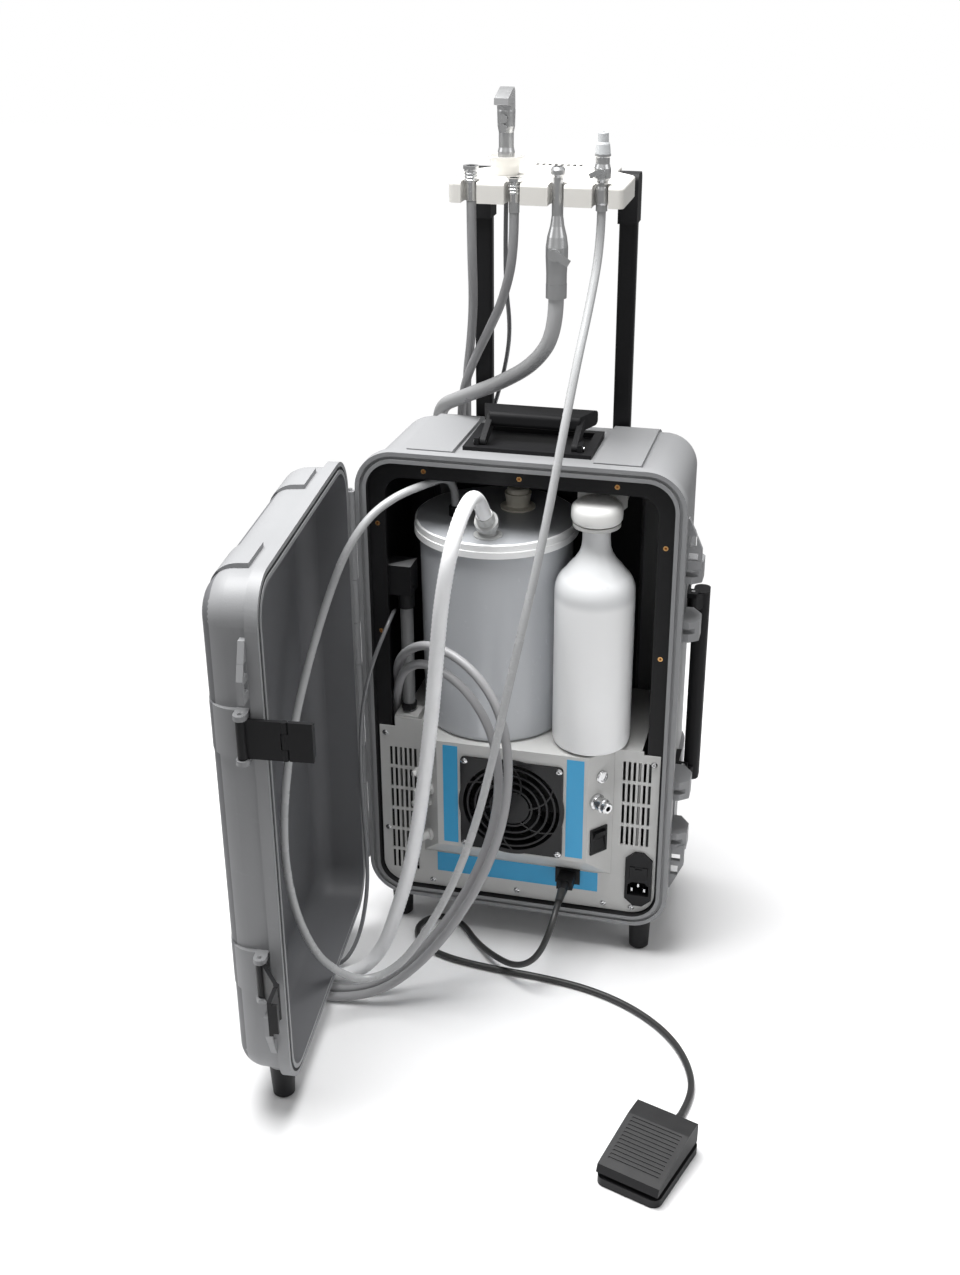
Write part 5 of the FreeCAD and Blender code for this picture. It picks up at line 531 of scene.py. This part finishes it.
def hose_routes():
    """Each hose's way from its holder down behind the case, round to the front and up to where it ends."""
    x, elbow, lean = HOLDERS, Vector(SUCTION_ELBOW), math.radians(40)
    lean_way = Vector((0, -math.sin(lean), math.cos(lean)))
    return {
        "hose_handpiece_left":
            [(x[0], TOOL_Y, TRAY_TOP - 19.1), (x[0], TOOL_Y, 776), (x[0] - 4, 93, 716), (x[0] - 19, 139, 661),
             (x[0] - 34, 178, 614), (x[0] - 45, 219, 568), (-116, 250, 500)] + around(3.4, LYING["handpiece"])
            + [(-200, -160, 5.05), (-156, -157, 6), (-114, -149, 17), (-76, -136, 48), (-38, -123, 100),
               (-8, -112, 160), (11, -102, 224), (15, -94, 290), (2, -84, 346), (-34, -68, 384), (-84, -44, 392),
               (-118, -22, 366), (-134, 4, 333), (-142, 34, 298), (-148, 51, 268), (-149.5, 53, 238)],
        "hose_handpiece_right":
            [(x[1], TOOL_Y, TRAY_TOP - 29.1), (x[1], TOOL_Y, 770), (x[1] - 14, 87, 722), (x[1] - 36, 117, 682),
             (x[1] - 59, 140, 641), (x[1] - 78, 170, 603), (-112, 206, 560), (-120, 236, 500)]
            + around(2.4, LYING["handpiece"])
            + [(-190, -142, 5.05), (-150, -143, 6), (-114, -134, 20), (-80, -122, 52), (-46, -110, 100),
               (-18, -100, 156), (-1, -91, 214), (2, -83, 272), (-12, -74, 322), (-44, -60, 356), (-88, -38, 366),
               (-118, -17, 345), (-133, 5, 313), (-143.6, 31, 279), (-147, 36, 247)],
        "tube_syringe":
            [(-38, 112, TRAY_TOP - 22.1), (-39, 113, 776), (-42, 128, 724), (-42, 150, 674), (-54, 180, 626),
             (-72, 204, 572), (-96, 210, 506)] + around(0, LYING["tube"])
            + [(-177, -102, 2.6), (-160, -86, 32), (-154, -68, 82), (-157, -54, 130), (-164, -42, 182),
               (-168, -32, 240), (-165, -26, 298), (-154, -22, 346), (-141, -8, 384), (-139, 22, 396),
               (-147, 48, 382)],
        "hose_suction":
            [(x[2], TOOL_Y, TRAY_TOP - 110.1), (x[2], TOOL_Y, 694), (x[2] - 24, 87, 656), (x[2] - 68, 117, 624),
             (x[2] - 116, 148, 597), (-137, 193, 568), (-136, 221, 508)] + around(1.2, LYING["suction"])
            + [(-176, -128, 8.2), (-142, -125, 23), (-118, -122, 57), (-102, -121, 108), (-86, -120, 166),
               (-75, -118, 232), (-66, -117, 300), (-58, -119, 366), (-52, -122, 426), (-46, -124, 480),
               (-38, -117, 531), (-34, -80, 560), tuple(elbow + lean_way*67.1), tuple(elbow + lean_way*25.1)],
        "hose_saliva":
            [(x[3], TOOL_Y, TRAY_TOP - 24.1), (x[3], TOOL_Y, 782), (x[3] - 3, 40, 734), (x[3] - 8, 0, 682),
             (x[3] - 14, -32, 620), (x[3] - 22, -54, 552), (x[3] - 32, -72, 486), (x[3] - 44, -88, 420),
             (x[3] - 55, -100, 358), (x[3] - 66, -110, 294), (x[3] - 80, -120, 228), (x[3] - 100, -131, 162),
             (x[3] - 130, -144, 98), (x[3] - 162, -154, 52), (x[3] - 196, -166, 40), (-154, -182, 62),
             (-168, -204, 100), (-184, -212, 158), (-194, -204, 222), (-198, -178, 282), (-198, -140, 338),
             (-192, -102, 392), (-180, -74, 446), (-163, -62, 494), (-143, -40, 526), (-120, -16, 541),
             (-98, 13, 544), (-87.7, 35.1, 543.5), (-82.2, 47.1, 536), (-79, 54, 522.7), (-79, 54, 507.3)],
    }


class UNIT_OT_cords(bpy.types.Operator):
    """Lay the five hoses and the foot switch's cord along their routes"""
    bl_idname = "unit.cords"
    bl_label = "Hoses and cord"

    def execute(self, context):
        size, routes = sizes(), hose_routes()
        for name, diameter, pitch, shape, sides, node, slot, named, stiffness in (
                ("hose_handpiece_left", size.handpiece, 0.006, plain, 20, "handpiece_hose_left", "handpiece_hose",
                 "hose_silicone", "medium"),
                ("hose_handpiece_right", size.handpiece, 0.006, plain, 20, "handpiece_hose_right", "handpiece_hose",
                 "hose_silicone", "medium"),
                ("tube_syringe", size.tube, 0.004, plain, 14, "syringe_hose", "syringe_hose",
                 "tube_polyurethane", "limp"),
                ("hose_suction", size.suction, size.rib_pitch/2, ribbed, 28, "suction_hose", "suction_hose",
                 "suction_vinyl", "medium"),
                ("hose_saliva", size.saliva, 0.005, plain, 20, "saliva_hose", "saliva_hose",
                 "saliva_vinyl", "medium")):
            piece = tube(name, routes[name], diameter, pitch, shape, sides, node, slot, named, stiffness)
            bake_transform(piece)

        pedal = Matrix.Translation(PEDAL_AT) @ Matrix.Rotation(PEDAL_TURN, 4, "Z")
        gland = [pedal @ Vector((0, 55.1 + out, 5.2 - out/70)) for out in (42, 0)]
        tube("cord_foot",
             [PLUG_EXIT, (59, -54, 92), (56, -80, 73), (44, -90, 44), (20, -82, 23), (-12, -56, 13), (-42, -22, 4),
              (-66, 10, 3.8), (-96, 18, 3.8), (-116, -6, 3.8), (-106, -38, 3.8), (-70, -58, 3.8), (-16, -66, 3.8),
              (44, -68, 3.8), (102, -76, 3.8), (156, -98, 3.8), (200, -134, 3.8), (226, -180, 3.8)]
             + [tuple(p) for p in gland],
             size.cord, 0.005, plain, 18, "foot_cord", "cord_rubber", "cord_rubber", "limp", "case")
        reliefs = bmesh.new()
        spun(reliefs, [(3.6, 0), (5.2, 0), (5.2, 2), (4.2, 20), (3.9, 21), (3.6, 21)], PLUG_EXIT, (0, -1, 0), 32)
        ahead = (gland[0] - gland[1]).normalized()
        spun(reliefs, [(3.6, 0), (4.9, 0), (4.9, 1.5), (4.1, 18), (3.9, 19), (3.6, 19)], gland[1], ahead, 32)
        keep(reliefs, "cord_reliefs", "case", "cord_rubber", smooth=35)
        return {"FINISHED"}


# ------------------------------------------------------------------ finishes of the carried-over nodes
def in_mouth(across, up):
    """True within the rounded opening of the case or lid, measured in millimetres from its middle line."""
    out_x = abs(across) - (MOUTH_HALF_WIDTH - MOUTH_CORNER)
    out_z = abs(up - MOUTH_Z) - (MOUTH_HALF_HEIGHT - MOUTH_CORNER)
    return math.hypot(max(out_x, 0), max(out_z, 0)) + min(max(out_x, out_z), 0) < MOUTH_CORNER


def inside_case(at, normal):
    """True for the walls of the case's cavity, which get painted shade, but not for the outer faces of its rounded
    back corners.
    """
    outer = normal.y > 0.03 and at.x*normal.x + (at.z - MOUTH_Z)*normal.z > 15
    return in_mouth(at.x, at.z) and CAVITY_NEAR < at.y < CAVITY_FAR and not outer


def inside_lid(at, normal):
    """True for the inside of the lid, which gets painted shade, measured along it and into it from its hinge."""
    from_hinge = at - Vector((HINGE_X, 0, 0))
    return in_mouth(LID_ALONG.dot(from_hinge) + HINGE_X, at.z) and CAVITY_NEAR < LID_INTO.dot(from_hinge) < LID_FAR


class UNIT_OT_case(bpy.types.Operator):
    """Finish the case, its lid, latches, feet, wheels and handles"""
    bl_idname = "unit.case"
    bl_label = "Case and lid"

    def execute(self, context):
        dress("case_moulded", "case_shell", "lid_shell")
        dress("black_moulded", "lid_foot", "case_feet", "upper_latch_lever", "lower_latch_lever", "upper_latch_link",
              "lower_latch_link", "handle_brackets", "handle_guides", "panel_ring", "release_button")
        dress("grip_rubber", "lid_gasket", "top_handle", "side_handle", "handle_grip")
        dress("wheel_rubber", "wheel_left", "wheel_right")
        dress("latch_steel", "latch_pins", "case_pins")
        dress("post_anodised", "handle_posts")
        # The walls inside the case get the painted-shade finish
        dress_part("case_shell", "case_cavity", inside_case)
        # The inside of the lid gets the painted-shade finish
        dress_part("lid_shell", "lid_lining", inside_lid)
        return {"FINISHED"}


class UNIT_OT_panel(bpy.types.Operator):
    """Finish the service panel and everything on it"""
    bl_idname = "unit.panel"
    bl_label = "Service panel"

    def execute(self, context):
        dress("panel_powder_coat", "front_panel", "bottle_bracket")
        dress("chassis_paint", "chassis")
        dress("guard_black", "fan_guard")
        dress("fitting_black", "fan_frame", "fan_rotor", "mains_inlet", "fuse_drawer", "switch_frame",
              "switch_rocker")
        dress("plated_metal", "fasteners", "bay_fittings")
        dress("pump_cast", "pumps")
        # The chassis's top keeps the panel's own colour; its sides stay on the darker copy, painted shade
        dress_part("chassis", "panel_powder_coat", lambda at, n: at.z > DECK - 7)
        dress_part("fasteners", "insert_brass", lambda at, n: at.y > 7.55)
        dress_part("bay_fittings", "valve_white", lambda at, n: at.x < 0 and at.z < 226)
        dress_part("bay_fittings", "fitting_black", lambda at, n: at.z < 103)
        dress_part("mains_inlet", "plated_metal", lambda at, n: 5.9 < at.y < 23.4 and is_blade(at))

        plates, thick = bmesh.new(), sizes().plate_thick/MM
        for left, right, foot, top, face in ((-77, -60.5, 135, 258, -21), (60.5, 79.5, 135, 258, -21),
                                             (-93, 93, 75, 100, 6.5)):
            block(plates, (left, face - thick, foot), (right, face - PLATE_GAP, top))
        keep(plates, "blank_plates", "case", "blank_plate", smooth=20)
        return {"FINISHED"}


def is_blade(at):
    """True for the three contact blades in the mains inlet."""
    return any(abs(at.x - INLET_X - dx) < 1.05 and abs(at.z - INLET_Z - dz) < 2.05 for dx, dz in INLET_BLADES)


class UNIT_OT_screws(bpy.types.Operator):
    """Put a dark cross on every screw head, a painted shadow standing for its cross recess"""
    bl_idname = "unit.screws"
    bl_label = "Screw recesses"

    def execute(self, context):
        form = bmesh.new()
        guard = [(s*FAN_SCREW, GUARD_Y, FAN_Z + t*FAN_SCREW) for s in (-1, 1) for t in (-1, 1)]
        panel = [(-150.5, 4.3, 249), (-150.5, 4.3, 125), (-99, 4.3, 61), (0, 4.3, 62), (100, 4.3, 61),
                 (132, 4.3, 60.5), (150.5, 4.3, 248)]
        bracket = [(60, 47.3, 543.3), (97, 47.3, 543.3)]
        for number, (x, y, z) in enumerate(guard + panel + bracket):
            turn = Matrix.Translation(Vector((x, y, z))*MM) @ Matrix.Rotation(0.7*number, 4, "Y")
            for wide, tall in ((1.7, 0.35), (0.35, 1.7)):
                start = len(form.verts)
                block(form, (-wide, -0.03, -tall), (wide, 0.4, tall))
                form.verts.ensure_lookup_table()
                bmesh.ops.transform(form, matrix=turn, verts=form.verts[start:])
        # The crosses are near-black painted shadow, not cut recesses
        keep(form, "screw_recesses", "case", "recess_shadow", smooth=20)
        return {"FINISHED"}


def shoulder(radius, swell, foot, rise):
    """Nine points of the bottle's shoulder, from its straight wall up."""
    turns = [k/8*math.radians(62) for k in range(9)]
    return [(radius + swell*math.cos(a), foot + rise*math.sin(a)) for a in turns]


def bottle_profile():
    """Radius and height, up the outside of the bottle, over its mouth and down the inside."""
    return ([(0, 3), (22, 1.5), (33, 0), (37, 0.6), (40.4, 3), (42, 8), (42, 60), (42, 178)]
            + shoulder(24, 18, 178, 24)[1:]
            + [(28.6, 205), (22, 212.5), (17.4, 220), (15.2, 227), (14.5, 234), (14.5, 253.5), (12.6, 254),
               (12.6, 232), (15.4, 218), (26.5, 203)]
            + shoulder(22.6, 17.6, 176.5, 23)[6::-1]
            + [(40.2, 60), (40.2, 9), (37, 3.4), (33, 2.6), (0, 5)])


class UNIT_OT_vessels(bpy.types.Operator):
    """Finish the waste tank with its ports, and build the water bottle and its cap"""
    bl_idname = "unit.vessels"
    bl_label = "Tank and bottle"

    def execute(self, context):
        def off(axis, at):
            return (at.xy - Vector(axis)).length

        dress("tank_cloudy", "waste_tank")
        dress("tank_cover", "tank_lid")
        # The outer rim of the tank's lid gets a lighter finish, a painted highlight
        dress_part("tank_lid", "tank_rim", lambda at, n: off(TANK, at) > 84.5)
        dress("port_grey", "tank_ports")
        dress("port_cream", "port_cap")
        dress("fitting_black", "riser")
        dress_part("riser", "riser_grey", lambda at, n: off(RISER, at) < 7.02)
        dress_part("tank_ports", "fitting_black", lambda at, n: at.x < -60)
        dress_part("tank_ports", "port_cream", lambda at, n: at.y > 70)

        form = bmesh.new()
        spun(form, bottle_profile(), (*BOTTLE, BOTTLE_BASE), steps=72)
        keep(form, "bottle_body", "bottle", "bottle_white", smooth=50, replaced=["water_bottle"])

        form, knurls, radius = bmesh.new(), 120, 26.5
        spun(form, [(15, 0), (22, 0), (24.6, 1.2), (26.2, 4.2), (radius, 8), (radius, 13), (25.6, 17.2), (22.4, 20.4),
                    (14, 21), (0, 21), (0, 17.2), (15, 17.2)], (*BOTTLE, BOTTLE_BASE + CAP_HEIGHT), steps=knurls)
        centre = Vector(BOTTLE)*MM
        for vert in form.verts:
            out = vert.co.xy - centre
            if out.length > 26.1*MM and round(math.atan2(out.y, out.x)/math.tau*knurls) % 2:
                vert.co.xy = centre + out*(1 - 0.35/radius)
        keep(form, "bottle_cap_knurled", "case", "cap_white", smooth=42, replaced=["bottle_cap"])

        form = bmesh.new()
        spun(form, [(0, 8), (4, 8), (4, 214), (0, 214)], (*FLOAT_ROD, DECK), steps=24)
        spun(form, [(4.2, 34), (11, 34), (12, 36), (12, 60), (11, 62), (4.2, 62)], (*FLOAT_ROD, DECK), steps=32)
        keep(form, "tank_float", "case", "port_grey", smooth=35)
        return {"FINISHED"}


class UNIT_OT_tray(bpy.types.Operator):
    """Finish the tray, its instruments and the syringe"""
    bl_idname = "unit.tray"
    bl_label = "Tray and instruments"

    def execute(self, context):
        dress("tray_moulded", "tray", "syringe_cup")
        dress("instrument_satin", "suction_handpiece", "saliva_handpiece", "suction_valve", "saliva_valve", "syringe")
        dress("plated_metal", "handpiece_couplings", "air_button", "water_button")
        dress_part("saliva_handpiece", "tip_white", lambda at, n: at.z > 868.05)
        dress_part("tray", "fitting_black", lambda at, n: at.y > 172.5 and TRAY_TOP - 5.1 < at.z < TRAY_TOP - 0.5
                   and abs(at.x) < 30 and abs(n.z) < 0.5)
        return {"FINISHED"}


class UNIT_OT_foot_switch(bpy.types.Operator):
    """Finish the foot switch and its plug"""
    bl_idname = "unit.foot_switch"
    bl_label = "Foot switch"

    def execute(self, context):
        dress("pedal_base", "foot_base", "foot_plug")
        dress("pedal_tread", "foot_treadle")
        return {"FINISHED"}


class UNIT_OT_trim(bpy.types.Operator):
    """Small trim inside the case: the slim rod at the left wall"""
    bl_idname = "unit.trim"
    bl_label = "Small trim"

    def execute(self, context):
        form = bmesh.new()
        spun(form, [(0, 0), (0.7, 0.4), (0.9, 1.4), (0.9, 124), (0.7, 126), (0, 126.4)], (-155, 40, 365), steps=16)
        keep(form, "wall_rod", "case", "plated_metal", smooth=40)
        return {"FINISHED"}


# ------------------------------------------------------------------ stage
CAMERA_AT = (0.3251, -1.4389, 1.1010)
CAMERA_YAW, CAMERA_PITCH, CAMERA_ROLL = -0.247, 0.452, 0.006
CAMERA_SHIFT = (-1.7/1275, 1.0/1275)
SENSOR = 36
SKY, SKY_IN_GLOSS = 0.26, 0.50
SOFTBOXES = (("top_softbox", (-0.3, -0.05, 2.3), 98, 1.4, (0, 0.0, 0.4)),
             ("front_softbox", (0.2, -2.4, 1.7), 3, 1.4, (0, 0, 0.35)),
             ("left_softbox", (-2.1, -0.6, 1.4), 10, 1.2, (-0.1, -0.1, 0.3)),
             ("right_softbox", (2.0, -0.4, 1.6), 9, 1.3, (0, 0, 0.4)))          # place, watts, width, aim
FLOOR_COLOUR, FLOOR_ROUGH, FLOOR_REACH, FLOOR_DROP = (0.80, 0.80, 0.805, 1), 0.6, 6, 0.0003
FADE_FROM, FADE_TO = 0.45, 1.35
GLOW, GLOW_SEEN = 0.30, 0.71                    # what the far floor gives off, and how much more the camera sees


def fade_floor(tree, shader):
    """Beyond the object's shadow the floor turns into plain white."""
    reach = tree.nodes.new("ShaderNodeVectorMath")
    reach.operation = "LENGTH"
    tree.links.new(tree.nodes.new("ShaderNodeTexCoord").outputs["Object"], reach.inputs[0])
    white = tree.nodes.new("ShaderNodeEmission")
    rays = tree.nodes.new("ShaderNodeLightPath")
    glow = maths(tree, "ADD", maths(tree, "MULTIPLY", rays.outputs["Is Camera Ray"], GLOW_SEEN), GLOW)
    tree.links.new(glow, white.inputs["Strength"])
    blend = tree.nodes.new("ShaderNodeMixShader")
    tree.links.new(climb(tree, reach.outputs["Value"], FADE_FROM, FADE_TO), blend.inputs["Fac"])
    tree.links.new(shader.outputs["BSDF"], blend.inputs[1])
    tree.links.new(white.outputs["Emission"], blend.inputs[2])
    tree.links.new(blend.outputs["Shader"], tree.nodes["Material Output"].inputs["Surface"])


def add_camera(scene):
    yaw, pitch, roll = CAMERA_YAW, CAMERA_PITCH, CAMERA_ROLL
    ahead = Vector((math.sin(yaw)*math.cos(pitch), math.cos(yaw)*math.cos(pitch), -math.sin(pitch)))
    right = Vector((math.cos(yaw), -math.sin(yaw), 0))
    down = ahead.cross(right)
    right, down = right*math.cos(roll) + down*math.sin(roll), down*math.cos(roll) - right*math.sin(roll)
    data = bpy.data.cameras.new("camera")
    data.lens = sizes().camera_lens
    data.sensor_width = SENSOR
    data.shift_x, data.shift_y = CAMERA_SHIFT
    camera = bpy.data.objects.new("camera", data)
    scene.collection.objects.link(camera)
    camera.matrix_world = Matrix.Translation(CAMERA_AT) @ Matrix((right, -down, -ahead)).transposed().to_4x4()
    scene.camera = camera


def add_world(scene):
    """White to the camera and through clear parts, dimmer in reflections and dimmest as light."""
    world = bpy.data.worlds.new("studio")
    world.use_nodes = True
    tree = world.node_tree
    sky = tree.nodes["Background"]
    sky.inputs["Color"].default_value = (1, 1, 1, 1)
    rays = tree.nodes.new("ShaderNodeLightPath")
    seen = maths(tree, "MAXIMUM", rays.outputs["Is Camera Ray"], rays.outputs["Is Transmission Ray"])
    seen = maths(tree, "MAXIMUM", seen, maths(tree, "MULTIPLY", rays.outputs["Is Glossy Ray"], SKY_IN_GLOSS))
    tree.links.new(maths(tree, "MAXIMUM", seen, SKY), sky.inputs["Strength"])
    scene.world = world


def add_lights(scene):
    for name, place, power, wide, aim in SOFTBOXES:
        lamp = bpy.data.lights.new(name, "AREA")
        lamp.energy, lamp.size = power, wide
        light = bpy.data.objects.new(name, lamp)
        scene.collection.objects.link(light)
        light.location = place
        light.rotation_mode = "QUATERNION"
        light.rotation_quaternion = (Vector(aim) - Vector(place)).to_track_quat("-Z", "Y")


def add_floor(scene):
    material = bpy.data.materials.new("floor_white")
    material.use_nodes = True
    shader = material.node_tree.nodes["Principled BSDF"]
    shader.inputs["Base Color"].default_value = FLOOR_COLOUR
    shader.inputs["Roughness"].default_value = FLOOR_ROUGH
    fade_floor(material.node_tree, shader)
    form = bmesh.new()
    bmesh.ops.create_grid(form, x_segments=4, y_segments=4, size=FLOOR_REACH)
    mesh = bpy.data.meshes.new("floor")
    form.to_mesh(mesh)
    form.free()
    mesh.materials.append(material)
    floor = bpy.data.objects.new("floor", mesh)
    scene.collection.objects.link(floor)
    floor.location.z = -FLOOR_DROP


class UNIT_OT_stage(bpy.types.Operator):
    """Set the camera, lights, background and floor"""
    bl_idname = "unit.stage"
    bl_label = "Stage"

    def execute(self, context):
        scene = context.scene
        scene.view_settings.view_transform = "Standard"
        add_camera(scene)
        add_world(scene)
        add_lights(scene)
        add_floor(scene)
        return {"FINISHED"}


class UNIT_PT_panel(bpy.types.Panel):
    bl_label = "Dental Unit"
    bl_idname = "UNIT_PT_panel"
    bl_space_type = "VIEW_3D"
    bl_region_type = "UI"
    bl_category = "Dental Unit"

    def draw(self, context):
        for operator in OPERATORS:
            self.layout.operator(operator.bl_idname)
        for group in (context.scene.unit_finishes, context.scene.unit_sizes):
            for name in group.__annotations__:
                self.layout.prop(group, name)


OPERATORS = (UNIT_OT_stage, UNIT_OT_cords, UNIT_OT_case, UNIT_OT_panel, UNIT_OT_screws, UNIT_OT_vessels, UNIT_OT_tray,
             UNIT_OT_foot_switch, UNIT_OT_trim)
CLASSES = (UnitFinishes, UnitSizes, *OPERATORS, UNIT_PT_panel)


def register():
    for made in CLASSES:
        bpy.utils.register_class(made)
    bpy.types.Scene.unit_finishes = bpy.props.PointerProperty(type=UnitFinishes)
    bpy.types.Scene.unit_sizes = bpy.props.PointerProperty(type=UnitSizes)


def unregister():
    del bpy.types.Scene.unit_sizes
    del bpy.types.Scene.unit_finishes
    for made in reversed(CLASSES):
        bpy.utils.unregister_class(made)


def main():
    register()
    bpy.ops.unit.stage()
    bpy.ops.unit.cords()
    bpy.ops.unit.case()
    bpy.ops.unit.panel()
    bpy.ops.unit.screws()
    bpy.ops.unit.vessels()
    bpy.ops.unit.tray()
    bpy.ops.unit.foot_switch()
    bpy.ops.unit.trim()


if __name__ == "__main__":
    main()
